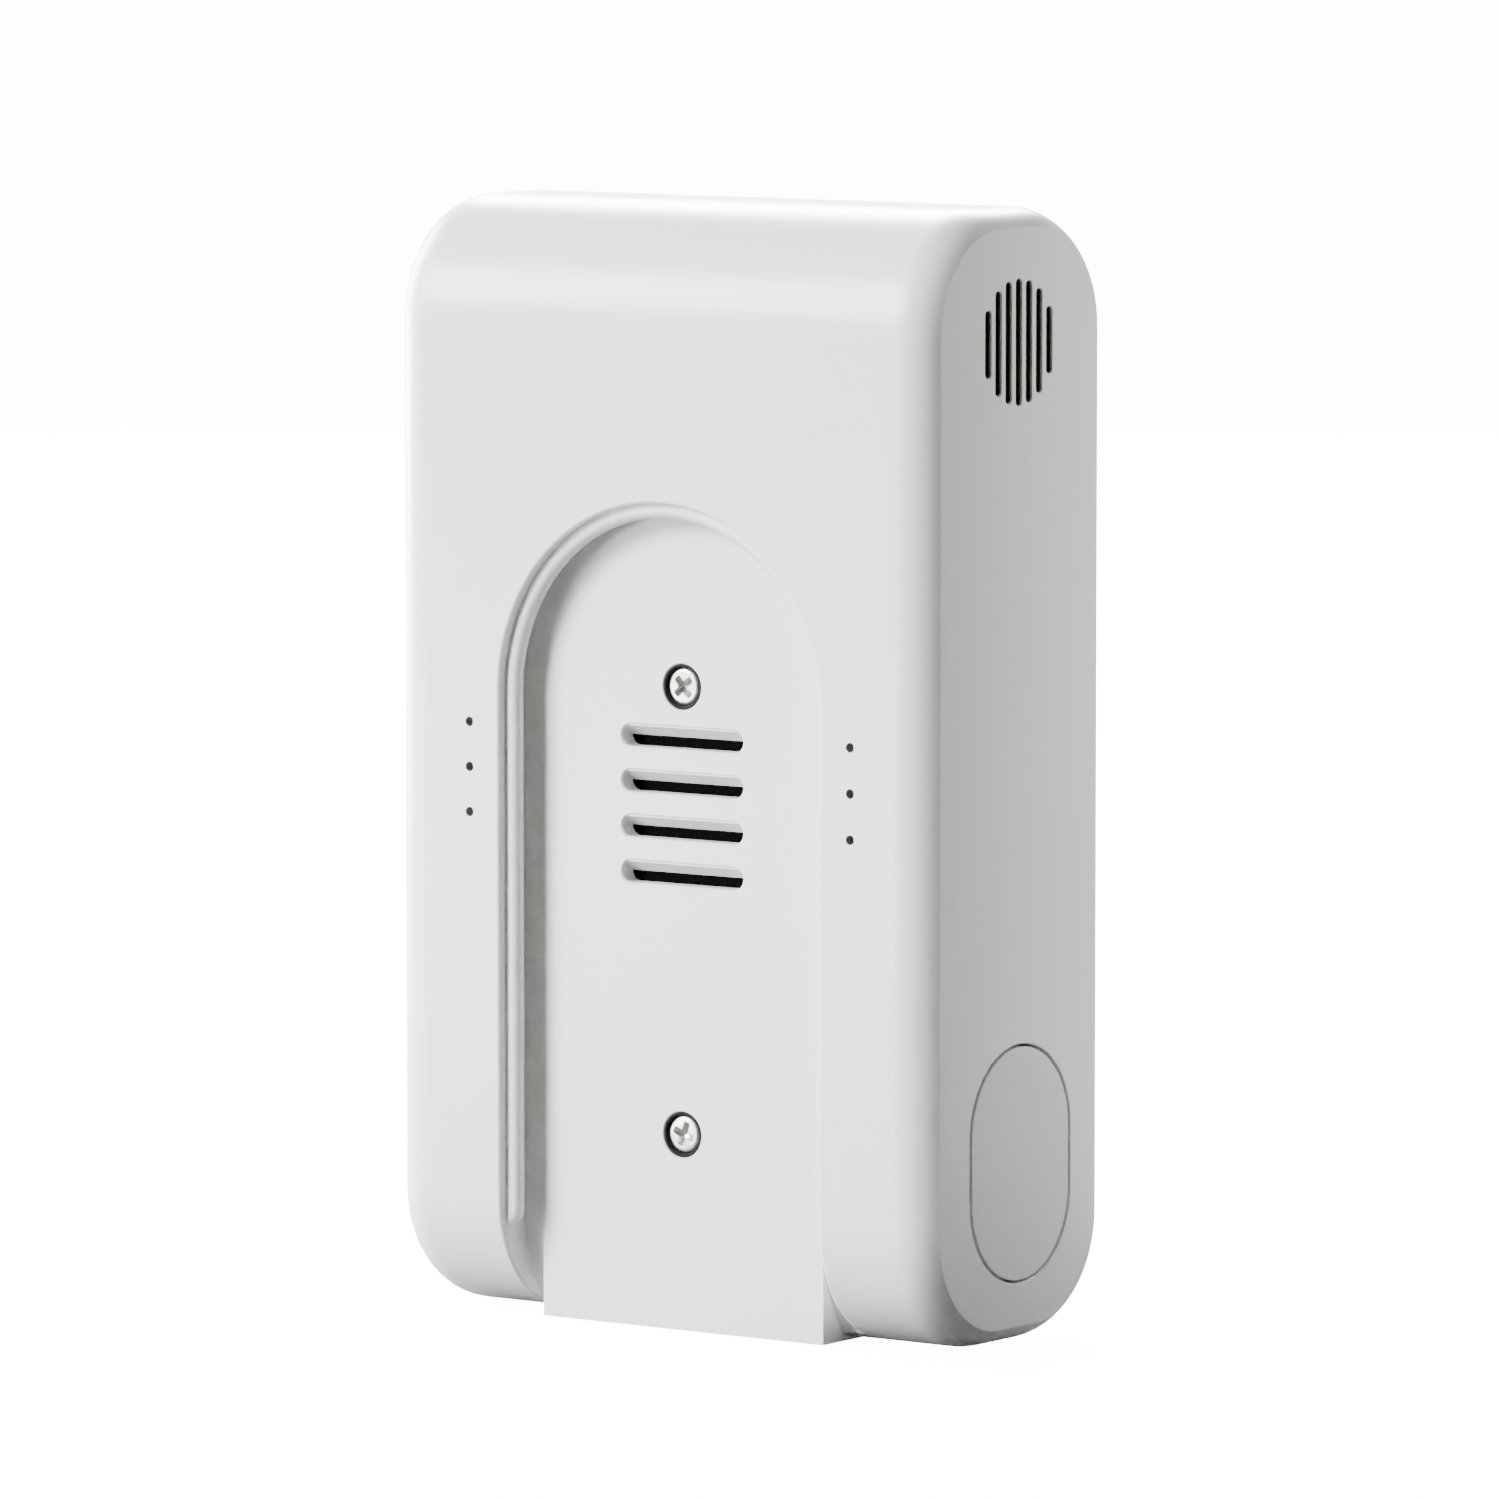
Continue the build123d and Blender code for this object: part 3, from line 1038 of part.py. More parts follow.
def usb_socket():
    """The charging socket's shell and tongue."""
    inner_width = USB_WIDTH - 2 * USB_SHELL
    inner_height = USB_HEIGHT - 2 * USB_SHELL
    outer = Pos(0, USB_Y) * RectangleRounded(USB_WIDTH, USB_HEIGHT, USB_RADIUS)
    inner = Pos(0, USB_Y) * RectangleRounded(inner_width, inner_height, USB_RADIUS - USB_SHELL)
    socket = extrude(Pos(0, 0, USB_BOTTOM) * outer, amount=USB_LENGTH)
    socket -= extrude(Pos(0, 0, USB_BOTTOM - PAST) * inner, amount=USB_LENGTH)
    half = USB_TONGUE_WIDTH / 2
    low = USB_Y - USB_TONGUE_HEIGHT / 2
    tip = USB_BOTTOM + USB_TONGUE_SETBACK
    return socket + block(-half, half, low, low + USB_TONGUE_HEIGHT, tip, USB_BOTTOM + USB_LENGTH)


def usb_board():
    """The small board that carries the charging socket on the chassis tab."""
    half = USB_BOARD_WIDTH / 2
    top = CHASSIS_BOTTOM - CHASSIS_END_GAP
    return block(-half, half, USB_BOARD_BACK, USB_BOARD_FRONT, USB_BOARD_Z, top)


PIECES = [
    rear_housing, front_panel, panel_seal, chassis, housing_screws, screw_seals, board_screws,
    camera_screws, panel_screws, key_screws, battery_pack, battery_tape, main_board, shield_can, board_chips,
    board_sockets, antenna, camera_board, image_sensor, lens_holder, lens_barrel, lens_glass,
    camera_bezel, camera_window, emitter_board, emitters, light_sensor, pir_lens, pir_sensor,
    microphone, mic_boot, bell_button, button_ring, bell_spring, bell_switch, ring_leds, side_key,
    key_spring, key_switch, key_board, speaker_mesh, speaker_gasket, speaker_frame, speaker_cone,
    speaker_magnet, louvre_mesh, usb_socket, usb_board,
]

for piece in PIECES:
    export_step(piece(), f"parts/{piece.__name__}.step")
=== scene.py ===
from math import atan2, pi

import bmesh
import bpy
from mathutils import Matrix, Vector


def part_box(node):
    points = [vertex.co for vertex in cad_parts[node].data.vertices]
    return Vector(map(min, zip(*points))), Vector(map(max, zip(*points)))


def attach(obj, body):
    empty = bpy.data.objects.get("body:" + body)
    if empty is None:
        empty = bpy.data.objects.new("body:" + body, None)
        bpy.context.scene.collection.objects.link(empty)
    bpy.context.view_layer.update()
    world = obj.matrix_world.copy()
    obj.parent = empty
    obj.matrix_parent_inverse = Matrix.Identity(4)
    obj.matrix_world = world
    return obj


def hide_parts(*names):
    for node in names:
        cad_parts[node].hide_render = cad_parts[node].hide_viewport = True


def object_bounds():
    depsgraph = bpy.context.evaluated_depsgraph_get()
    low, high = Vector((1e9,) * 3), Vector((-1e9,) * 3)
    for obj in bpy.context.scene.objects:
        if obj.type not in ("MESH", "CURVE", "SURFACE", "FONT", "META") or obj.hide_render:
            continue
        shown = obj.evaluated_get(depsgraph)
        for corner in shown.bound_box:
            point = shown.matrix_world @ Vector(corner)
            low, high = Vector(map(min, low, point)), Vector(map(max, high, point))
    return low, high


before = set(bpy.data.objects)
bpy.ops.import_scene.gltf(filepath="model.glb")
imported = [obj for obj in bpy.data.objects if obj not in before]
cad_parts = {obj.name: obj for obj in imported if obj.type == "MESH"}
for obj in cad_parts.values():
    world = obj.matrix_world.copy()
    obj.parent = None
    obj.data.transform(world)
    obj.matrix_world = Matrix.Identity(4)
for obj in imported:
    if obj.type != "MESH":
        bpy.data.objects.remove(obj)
cad_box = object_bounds()


# ---------------------------------------------------------------- studio
# A still-life table on a white sweep that glows by itself. Two square soft lights stand high,
# one on either face of the doorbell, and three strips, left, low left and right, lift the rims.
middle = (Vector(cad_box[0]) + Vector(cad_box[1])) / 2


def aim(thing, place, target):
    """Stands a lamp or the camera at a place and turns it to a target."""
    thing.location = place
    thing.rotation_euler = (Vector(target) - Vector(place)).to_track_quat("-Z", "Y").to_euler()


def soft_light(name, place, target, width, height, watts, tint):
    """A rectangular soft box."""
    lamp = bpy.data.lights.new(name, "AREA")
    lamp.shape = "RECTANGLE"
    lamp.size = width
    lamp.size_y = height
    lamp.energy = watts
    lamp.color = tint
    box = bpy.data.objects.new(name, lamp)
    bpy.context.scene.collection.objects.link(box)
    aim(box, place, target)


view = bpy.data.cameras.new("view")
view.lens = 266.37
view.sensor_width = 36.0
view.clip_start = 0.05
view.clip_end = 60.0
camera = bpy.data.objects.new("camera", view)
bpy.context.scene.collection.objects.link(camera)
aim(camera, (0.68946, -0.95779, 0.17677), (0.00006, 0.00018, 0.06112))
bpy.context.scene.camera = camera

soft_light("key_light", (-0.73, -0.95, 0.64), middle, 0.6, 0.6, 61.0, (1.0, 1.0, 0.995))
soft_light("top_light", (-0.60, 0.90, 0.75), middle, 0.6, 0.4, 66.0, (1.0, 1.0, 1.0))
soft_light("left_strip", (-0.60, 0.10, 0.10), middle, 0.3, 0.7, 34.0, (1.0, 1.0, 1.0))
soft_light("low_left", (-0.26, -0.26, 0.012), (0.0, 0.0, 0.03), 0.3, 0.02, 1.3, (1.0, 1.0, 1.0))
soft_light("right_strip", (0.080, 0.092, 0.04), (0.035, 0.016, 0.05), 0.04, 0.5, 0.46, (1.0, 0.995, 0.97))

sky = bpy.data.worlds.new("studio_air")
sky.use_nodes = True
sky.node_tree.nodes["Background"].inputs["Color"].default_value = (1.0, 1.0, 0.995, 1.0)
sky.node_tree.nodes["Background"].inputs["Strength"].default_value = 0.10
bpy.context.scene.world = sky


SWEEP_REACH = 14.0


def white_card(name, height, glow, grey, wall):
    """A matt sheet under everything. It can glow, and turn up into walls far away."""
    sheet = bmesh.new()
    bmesh.ops.create_grid(sheet, x_segments=1, y_segments=1, size=SWEEP_REACH,
                          matrix=Matrix.Translation((0, 0, height)))
    if wall:
        rim = bmesh.ops.extrude_edge_only(sheet, edges=sheet.edges[:])["geom"]
        upper = [part for part in rim if isinstance(part, bmesh.types.BMVert)]
        bmesh.ops.translate(sheet, vec=(0.0, 0.0, wall), verts=upper)
    mesh = bpy.data.meshes.new(name)
    sheet.to_mesh(mesh)
    sheet.free()
    card = bpy.data.materials.new(name)
    card.use_nodes = True
    shader = card.node_tree.nodes["Principled BSDF"]
    shader.inputs["Base Color"].default_value = (grey, grey, grey, 1.0)
    shader.inputs["Roughness"].default_value = 0.9
    shader.inputs["Emission Color"].default_value = (1.0, 1.0, 1.0, 1.0)
    shader.inputs["Emission Strength"].default_value = glow
    mesh.materials.append(card)
    made = bpy.data.objects.new(name, mesh)
    bpy.context.scene.collection.objects.link(made)
    return made


# The glowing floor is only looked at, so that it doesn't light the plastic from below. A plain
# grey sheet under it, which the camera can't see, gives back a little light.
floor = white_card("floor", -0.0002, 14.0, 0.92, 9.0)
floor.visible_diffuse = False
floor.visible_glossy = False
floor.visible_transmission = False
bounce = white_card("bounce", -0.001, 0.0, 0.45, 0.0)
bounce.visible_camera = False


# ---------------------------------------------------------------- rear housing
# One deep injection moulding in warm white ABS, closed by the front panel. The tool leaves
# a fine spark-eroded grain outside. Painted shade darkens the insides of the dimples and the
# walls of the grille's slots.
class Value:
    """A number that varies over a surface. Arithmetic on it adds Math nodes."""

    def __init__(self, finish, socket):
        self.finish = finish
        self.socket = socket

    def math(self, operation, first, second=0.0):
        return self.finish.node("ShaderNodeMath", {"operation": operation}, {0: first, 1: second})

    def __add__(self, other):
        return self.math("ADD", self, other)

    def __sub__(self, other):
        return self.math("SUBTRACT", self, other)

    def __rsub__(self, other):
        return self.math("SUBTRACT", other, self)

    def __mul__(self, other):
        return self.math("MULTIPLY", self, other)

    def __abs__(self):
        return self.math("ABSOLUTE", self)

    def __lt__(self, other):
        return self.math("LESS_THAN", self, other)


class Finish:
    """A material, its nodes and its shader."""

    def __init__(self, name):
        self.material = bpy.data.materials.new(name)
        self.material.use_nodes = True
        self.tree = self.material.node_tree
        self.shader = self.tree.nodes["Principled BSDF"]

    def node(self, kind, settings=None, sockets=None, output=0):
        """Adds a node, with its settings first and then its sockets' values or links."""
        made = self.tree.nodes.new(kind)
        for name, value in (settings or {}).items():
            if name == "stops":
                for stop, (place, level) in zip(made.color_ramp.elements, value):
                    stop.position = place
                    stop.color = (level, level, level, 1.0)
            else:
                setattr(made, name, value)
        self.fill(made, sockets or {})
        return Value(self, made.outputs[output])

    def fill(self, made, sockets):
        for name, value in sockets.items():
            if isinstance(value, Value):
                self.tree.links.new(value.socket, made.inputs[name])
            else:
                made.inputs[name].default_value = value

    def surface(self, **sockets):
        """Sets the shader's sockets. An underscore stands for a space."""
        self.fill(self.shader, {name.replace("_", " "): value for name, value in sockets.items()})

    def place(self, stretch=(1.0, 1.0, 1.0), turn=(0.0, 0.0, 0.0)):
        """The point on the piece, in metres, stretched and turned for a pattern."""
        here = self.node("ShaderNodeTexCoord", output="Object")
        return self.node("ShaderNodeMapping", {}, {"Vector": here, "Scale": stretch, "Rotation": turn})

    def noise(self, size, detail=2.0, rough=0.5, at=None):
        """Soft lumps of a size in metres, from 0 to 1."""
        at = at or self.place()
        return self.node("ShaderNodeTexNoise", {}, {"Vector": at, "Scale": 1.0 / size, "Detail": detail,
                                                    "Roughness": rough})

    def blend(self, mask, first, second):
        """The first colour where the mask is 0, the second where it is 1."""
        return self.node("ShaderNodeMix", {"data_type": "RGBA"}, {0: mask, 6: first, 7: second}, output=2)

    def relief(self, height, depth, strength=1.0):
        """Turns a height from 0 to 1 into a slope of the surface, for a depth in metres."""
        return self.node("ShaderNodeBump", {}, {"Height": height, "Distance": depth, "Strength": strength})


def colour(red, green, blue):
    return (red, green, blue, 1.0)


def shade(tint, share):
    """The same colour, lighter or darker by a share."""
    return colour(*(min(1.0, part * share) for part in tint[:3]))


def moulded(name, tint, rough, grain, depth, cast=0.03, gloss_change=0.08, **sockets):
    """A moulded plastic: its grain, the faint clouding of the melt and a few scuffs."""
    finish = Finish(name)
    clouds = finish.noise(0.02, 3.0, 0.6)
    fine = finish.noise(grain, 3.0, 0.55)
    flow = finish.noise(0.006, 2.0, 0.5, finish.place((1.0, 1.0, 0.25)))
    scuffs = finish.node("ShaderNodeValToRGB", {"stops": ((0.66, 0.0), (0.80, 1.0))},
                         {0: finish.noise(0.0035, 5.0, 0.7, finish.place((1.0, 1.0, 0.4)))})
    tone = clouds * 0.7 + flow * 0.3
    finish.tone = finish.blend(tone, shade(tint, 1.0 - cast), shade(tint, 1.0 + cast))
    finish.surface(Base_Color=finish.tone,
                   Roughness=(clouds - 0.5) * gloss_change + scuffs * 0.06 + (fine - 0.5) * 0.05 + rough,
                   Normal=finish.relief(fine, depth), **sockets)
    return finish


def paint(finish, *names):
    """Gives a finish to CAD nodes."""
    for name in names:
        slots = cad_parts[name].data.materials
        slots.clear()
        slots.append(finish.material)


DIMPLE_X = 0.0249
DIMPLE_Z = 0.0592
DIMPLE_REACH = 0.0007
DIMPLE_ROW_REACH = 0.0060
DIMPLE_BEHIND = 0.0157
GRILLE_BEHIND = 0.0002
GRILLE_Z = 0.106
GRILLE_REACH_SQUARED = 0.00006
GRILLE_WALL_X = 0.0338
GRILLE_WALL_REACH = 0.00100
white = moulded("housing_white", colour(0.79, 0.79, 0.778), 0.32, 0.00035, 0.000004, cast=0.012, IOR=1.5)
across, depth_in, up = (white.node("ShaderNodeSeparateXYZ", {}, {0: white.place()}, output=axis)
                        for axis in "XYZ")
off_row = abs(abs(across) - DIMPLE_X)
in_row = abs(up - DIMPLE_Z) < DIMPLE_ROW_REACH
pits = (off_row < DIMPLE_REACH) * in_row * (abs(depth_in + DIMPLE_BEHIND) < DIMPLE_REACH)
aside = depth_in + GRILLE_BEHIND
above = up - GRILLE_Z
in_wall = abs(across - GRILLE_WALL_X) < GRILLE_WALL_REACH
slot_walls = (aside * aside + above * above < GRILLE_REACH_SQUARED) * in_wall
# Painted shade: the insides of the dimples are darkened to a dark grey, for the shade in these deep holes.
shaded_dimples = white.blend(pits * 0.80, white.tone, colour(0.10, 0.10, 0.098))
# Painted shade: the walls of the grille's slots are darkened to a dark brown, for the shade inside the slots.
white.surface(Base_Color=white.blend(slot_walls, shaded_dimples, colour(0.050, 0.038, 0.030)))
paint(white, "rear_housing")


# ---------------------------------------------------------------- cloths behind the openings
# Black woven polyester, cut with a hot knife and stuck behind the louvres and the side
# grille. It keeps insects and rain off the electronics and the speaker.
def woven(name, tint, pitch, depth, across, along):
    """A plain weave: two sets of threads that pass over each other in turn."""
    finish = Finish(name)
    place = finish.place()
    parts = {axis: finish.node("ShaderNodeSeparateXYZ", {}, {0: place}, output=axis)
             for axis in (across, along)}
    turn = pi / pitch
    warp = finish.node("ShaderNodeMath", {"operation": "SINE"}, {0: parts[across] * turn})
    weft = finish.node("ShaderNodeMath", {"operation": "SINE"}, {0: parts[along] * turn})
    weave = warp * weft * 0.5 + 0.5
    fuzz = finish.noise(pitch * 0.4, 2.0)
    thread = weave * 0.8 + fuzz * 0.2
    finish.surface(Base_Color=finish.blend(thread, shade(tint, 0.35), shade(tint, 1.3)),
                   Roughness=0.95 - thread * 0.15, Normal=finish.relief(thread, depth),
                   Specular_IOR_Level=0.03)
    return finish


CLOTH_PITCH = 0.00024
CLOTH_DEPTH = 0.00006
paint(woven("louvre_cloth", colour(0.0010, 0.0010, 0.0011), CLOTH_PITCH, CLOTH_DEPTH, "X", "Z"),
      "louvre_mesh")
paint(woven("speaker_cloth", colour(0.0090, 0.0070, 0.0058), CLOTH_PITCH, CLOTH_DEPTH, "Y", "Z"),
      "speaker_mesh")


# ---------------------------------------------------------------- housing screws
# Two nickel-plated steel pan-head screws, cold headed with a tapered cross recess. They clamp
# the chassis through the recess floor. A moulded rubber cup under each head seals its pocket,
# and its black also stands in for the shade in the ring round the head.
def plated(name, tint, rough, grain, depth, metallic=1.0, **sockets):
    """A plated or drawn metal: tumbling dents, faint stains and a slight change of gloss."""
    finish = Finish(name)
    dents = finish.noise(grain, 4.0, 0.65)
    stains = finish.noise(grain * 12.0, 3.0, 0.6)
    finish.surface(Base_Color=finish.blend(stains, shade(tint, 0.82), shade(tint, 1.08)),
                   Roughness=dents * 0.12 + stains * 0.10 + (rough - 0.1),
                   Normal=finish.relief(dents, depth), Metallic=metallic, **sockets)
    return finish


def make(name, body, finish, finish_slot, *stands_for):
    """Turns a shape in millimetres into a piece that is fixed to the housing."""
    bmesh.ops.recalc_face_normals(body, faces=body.faces)
    bmesh.ops.scale(body, vec=(0.001, 0.001, 0.001), verts=body.verts)
    mesh = bpy.data.meshes.new(name)
    body.to_mesh(mesh)
    body.free()
    mesh.materials.append(finish.material)
    mesh.shade_smooth()
    mesh.set_sharp_from_angle(angle=0.6)
    made = bpy.data.objects.new(name, mesh)
    bpy.context.scene.collection.objects.link(made)
    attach(made, "housing")
    if stands_for:
        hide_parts(*stands_for)
    return made


def spun(body, outline, centre, closed=True, steps=72):
    """Turns an outline of (radius, y) round an axis that points at the visitor, and returns its points."""
    points = [body.verts.new((radius, y, 0.0)) for radius, y in outline]
    pairs = list(zip(points, points[1:])) + ([(points[-1], points[0])] if closed else [])
    edges = [body.edges.new(pair) for pair in pairs]
    before = set(body.verts) - set(points)
    bmesh.ops.spin(body, geom=points + edges, cent=(0.0, 0.0, 0.0), axis=(0.0, 1.0, 0.0), angle=2 * pi,
                   steps=steps, use_merge=True)
    fresh = [vert for vert in body.verts if vert not in before]
    bmesh.ops.remove_doubles(body, verts=fresh, dist=1e-5)
    fresh = [vert for vert in body.verts if vert not in before]
    bmesh.ops.translate(body, vec=(centre.x, 0.0, centre.z), verts=fresh)
    return fresh


def solids(name):
    """The lowest and highest corner of each separate solid of a CAD node, in millimetres."""
    body = bmesh.new()
    body.from_mesh(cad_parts[name].data)
    bmesh.ops.remove_doubles(body, verts=body.verts, dist=1e-7)
    left = set(body.verts)
    found = []
    while left:
        reached = [left.pop()]
        group = list(reached)
        while reached:
            near = {edge.other_vert(vert) for vert in reached for edge in vert.link_edges} & left
            left -= near
            reached = list(near)
            group += reached
        corners = [Vector([limit(vert.co[axis] for vert in group) * 1000.0 for axis in range(3)])
                   for limit in (min, max)]
        found.append(tuple(corners))
    body.free()
    return sorted(found, key=lambda pair: tuple(pair[0]))


HEAD_RADIUS = 2.0
HEAD_HEIGHT = 0.95
CORE_RADIUS = 1.0
CROWN_STEP = 0.045
CROWN_STEPS = 38
CROWN_FALL = 0.022
CROSS_REACH = 1.35
CROSS_DEPTH = 0.88
CROSS_HALF_WIDTH = 0.40
CROSS_TAPER = 0.10
THREAD_PITCH = 0.8
THREAD_DEPTH = 0.22
screws = bmesh.new()
for number, (lowest, highest) in enumerate(solids("housing_screws")):
    centre = (lowest + highest) / 2
    top = lowest.y
    under = top + HEAD_HEIGHT
    crown = [(step * CROWN_STEP, top + (step * CROWN_STEP) ** 2 * CROWN_FALL)
             for step in range(CROWN_STEPS)]
    edge = [(HEAD_RADIUS - 0.13, top + 0.13), (HEAD_RADIUS - 0.05, top + 0.22), (HEAD_RADIUS, top + 0.36),
            (HEAD_RADIUS, under - 0.05), (HEAD_RADIUS - 0.05, under), (CORE_RADIUS, under)]
    ridges = [(CORE_RADIUS, under + 0.3 + step * THREAD_PITCH / 6) for step in range(52)]
    tip = [(0.8, highest.y - 0.12), (0.6, highest.y), (0.0, highest.y)]
    points = spun(screws, crown + edge + ridges + tip, centre, closed=False, steps=96)
    for point in points:
        x = point.co.x - centre.x
        z = point.co.z - centre.z
        turn = Matrix.Rotation(0.35 + number * 0.5, 2)
        across, along = sorted(abs(part) for part in turn @ Vector((x, z)))
        if point.co.y < top + 0.12 and along < CROSS_REACH:
            wall = (CROSS_HALF_WIDTH - CROSS_TAPER * along / CROSS_REACH - across) / CROSS_TAPER + 0.5
            floor_of_cross = CROSS_DEPTH * (1.0 - (along / CROSS_REACH) ** 1.5)
            point.co.y += floor_of_cross * max(0.0, min(1.0, wall))
        if under + 0.35 < point.co.y < highest.y - 0.2:
            wave = (atan2(z, x) / (2 * pi) + point.co.y / THREAD_PITCH) % 1.0
            share = 1.0 - THREAD_DEPTH * abs(wave * 2.0 - 1.0)
            point.co.x = centre.x + x * share
            point.co.z = centre.z + z * share
nickel = plated("screw_nickel", colour(0.66, 0.65, 0.62), 0.34, 0.00025, 0.000006)
make("cross_head_screws", screws, nickel, "screw_nickel", "housing_screws")

CUP_MOUTH = -12.08
CUP_BORE = 2.05
CUP_HOLE = 1.05
CUP_FLOOR = 0.36
rubber = moulded("seal_rubber", colour(0.006, 0.006, 0.007), 0.72, 0.00035, 0.000010, cast=0.2,
                 Specular_IOR_Level=0.2)
# Partly painted shade: besides sealing, the black cups fill the gap round each head, where the pocket would
# be in shade.
cups = bmesh.new()
for lowest, highest in solids("screw_seals"):
    base = highest.y
    lip = [(2.40, CUP_MOUTH + 0.30), (2.46, CUP_MOUTH + 0.14), (2.44, CUP_MOUTH + 0.03), (2.36, CUP_MOUTH),
           (2.22, CUP_MOUTH + 0.02), (2.12, CUP_MOUTH + 0.14), (CUP_BORE, CUP_MOUTH + 0.32)]
    inside = [(CUP_BORE, base - CUP_FLOOR), (CUP_HOLE, base - CUP_FLOOR)]
    outline = [(CUP_HOLE, base), (2.35, base)] + lip + inside
    spun(cups, outline, (lowest + highest) / 2)
make("screw_cups", cups, rubber, "seal_rubber", "screw_seals")


# ---------------------------------------------------------------- side key
# A stadium-shaped push key in the same white ABS, moulded in a smoother tool, held in the
# side wall by a lip at its two ends.
paint(moulded("key_white", colour(0.77, 0.77, 0.76), 0.42, 0.0003, 0.000003, cast=0.012, IOR=1.5), "side_key")


# ---------------------------------------------------------------- key spring and bell spring
# Two short rings of clear-grey silicone, compression moulded. Each stands round a switch and
# pushes its button back out.
paint(moulded("spring_silicone", colour(0.56, 0.58, 0.60), 0.48, 0.0006, 0.000004, cast=0.05,
              Subsurface_Weight=0.35, Subsurface_Scale=0.002, Transmission_Weight=0.25, IOR=1.41),
      "key_spring", "bell_spring")


# ---------------------------------------------------------------- switches
# Two surface-mounted tact switches: a black glass-filled nylon body under a moulded stem. One
# is soldered to the main board under the bell button, the other to the key's own board.
paint(moulded("switch_black", colour(0.022, 0.022, 0.024), 0.46, 0.00018, 0.000006, cast=0.2),
      "key_switch", "bell_switch")


# ---------------------------------------------------------------- circuit boards
# Glass-epoxy boards with solder mask over etched copper. The tracks stand up a little under
# the mask and show lighter through it, and tinned pads break it.
def board(name, mask_tint, track_tint, pitch, turn):
    """Solder mask over a net of tracks that runs in steps, with round tinned pads."""
    finish = Finish(name)
    flat = finish.place(turn=turn)
    net = finish.node("ShaderNodeTexBrick", {"offset": 0.37, "squash": 0.6, "squash_frequency": 3},
                      {"Vector": flat, "Scale": 1.0, "Mortar Size": pitch * 0.10, "Mortar Smooth": 0.15,
                       "Brick Width": pitch * 2.6, "Row Height": pitch}, output=1)
    cells = finish.node("ShaderNodeTexVoronoi", {"distance": "EUCLIDEAN"},
                        {"Vector": flat, "Scale": 1.0 / (pitch * 2.2), "Randomness": 0.8})
    pads = cells < 0.13
    holes = cells < 0.05
    weave = finish.noise(0.0007, 2.0, 0.5, finish.place((1.0, 1.0, 0.3), turn))
    mask = finish.blend(net * 0.8 + weave * 0.2, shade(mask_tint, 0.85), track_tint)
    tinned = finish.blend(pads, mask, colour(0.62, 0.60, 0.55))
    finish.surface(Base_Color=finish.blend(holes, tinned, colour(0.02, 0.02, 0.02)),
                   Metallic=pads * 0.9, Roughness=0.34 - pads * 0.06 + weave * 0.1,
                   Normal=finish.relief(net * 0.6 + pads * 0.4, 0.00003, 0.7), Coat_Weight=0.3)
    return finish


upright = (pi / 2, 0.0, 0.0)
sideways = (0.0, pi / 2, 0.0)
mask_green = colour(0.012, 0.085, 0.032)
track_green = colour(0.030, 0.190, 0.065)
paint(board("board_green", mask_green, track_green, 0.0011, upright), "main_board", "camera_board")
paint(board("key_board_green", mask_green, track_green, 0.0009, sideways), "key_board")
paint(board("usb_board_green", mask_green, track_green, 0.0009, upright), "usb_board")
paint(board("board_black", colour(0.010, 0.010, 0.011), colour(0.035, 0.035, 0.037), 0.0010, upright),
      "emitter_board")


# ---------------------------------------------------------------- chips
# Moulded epoxy packages with a moulded dot at the first pin and tinned terminals along all
# four edges, reflowed to the main board. A drawn, tinned can shields the radio beside them.
def brick(body, lowest, highest, edge=0.0, segments=2):
    """Adds a block, with broken edges if an edge is given."""
    centre = (lowest + highest) / 2
    spread = Matrix.Diagonal((*(highest - lowest), 1.0))
    made = bmesh.ops.create_cube(body, size=1.0, matrix=Matrix.Translation(centre) @ spread)["verts"]
    if edge:
        edges = list({link for vert in made for link in vert.link_edges})
        bmesh.ops.bevel(body, geom=edges, offset=edge, offset_type="OFFSET", affect="EDGES",
                        segments=segments, profile=0.5, material=-1)


tinned = plated("tinned_steel", colour(0.60, 0.59, 0.56), 0.34, 0.0004, 0.000005)
epoxy = moulded("chip_black", colour(0.020, 0.020, 0.022), 0.52, 0.00012, 0.000008, cast=0.25)
TERMINAL_PITCH = 0.65
TERMINAL_HALF_WIDTH = 0.15
TERMINAL_OUT = 0.06
TERMINAL_HEIGHT = 0.22
TERMINAL_START = 0.8
CORNERS_CLEAR = 1.0
DOT_RADIUS = 0.25
DOT_INSET = 0.9
packages = bmesh.new()
terminals = bmesh.new()
for lowest, highest in solids("board_chips"):
    brick(packages, lowest, highest, 0.06)
    spot = Matrix.Translation((lowest.x + DOT_INSET, highest.y, highest.z - DOT_INSET))
    bmesh.ops.create_cone(packages, cap_ends=True, segments=24, radius1=DOT_RADIUS, radius2=DOT_RADIUS,
                          depth=0.02, matrix=spot @ Matrix.Rotation(pi / 2, 4, "X"))
    top_of_terminal = lowest.y + TERMINAL_HEIGHT
    for side in (lowest.x, highest.x):
        for step in range(int((highest.z - lowest.z - CORNERS_CLEAR) / TERMINAL_PITCH)):
            z = lowest.z + TERMINAL_START + step * TERMINAL_PITCH
            brick(terminals, Vector((side - TERMINAL_OUT, lowest.y, z - TERMINAL_HALF_WIDTH)),
                  Vector((side + TERMINAL_OUT, top_of_terminal, z + TERMINAL_HALF_WIDTH)))
    for side in (lowest.z, highest.z):
        for step in range(int((highest.x - lowest.x - CORNERS_CLEAR) / TERMINAL_PITCH)):
            x = lowest.x + TERMINAL_START + step * TERMINAL_PITCH
            brick(terminals, Vector((x - TERMINAL_HALF_WIDTH, lowest.y, side - TERMINAL_OUT)),
                  Vector((x + TERMINAL_HALF_WIDTH, top_of_terminal, side + TERMINAL_OUT)))
make("chip_packages", packages, epoxy, "chip_black", "board_chips")
make("chip_terminals", terminals, tinned, "tinned_steel")
paint(tinned, "shield_can")


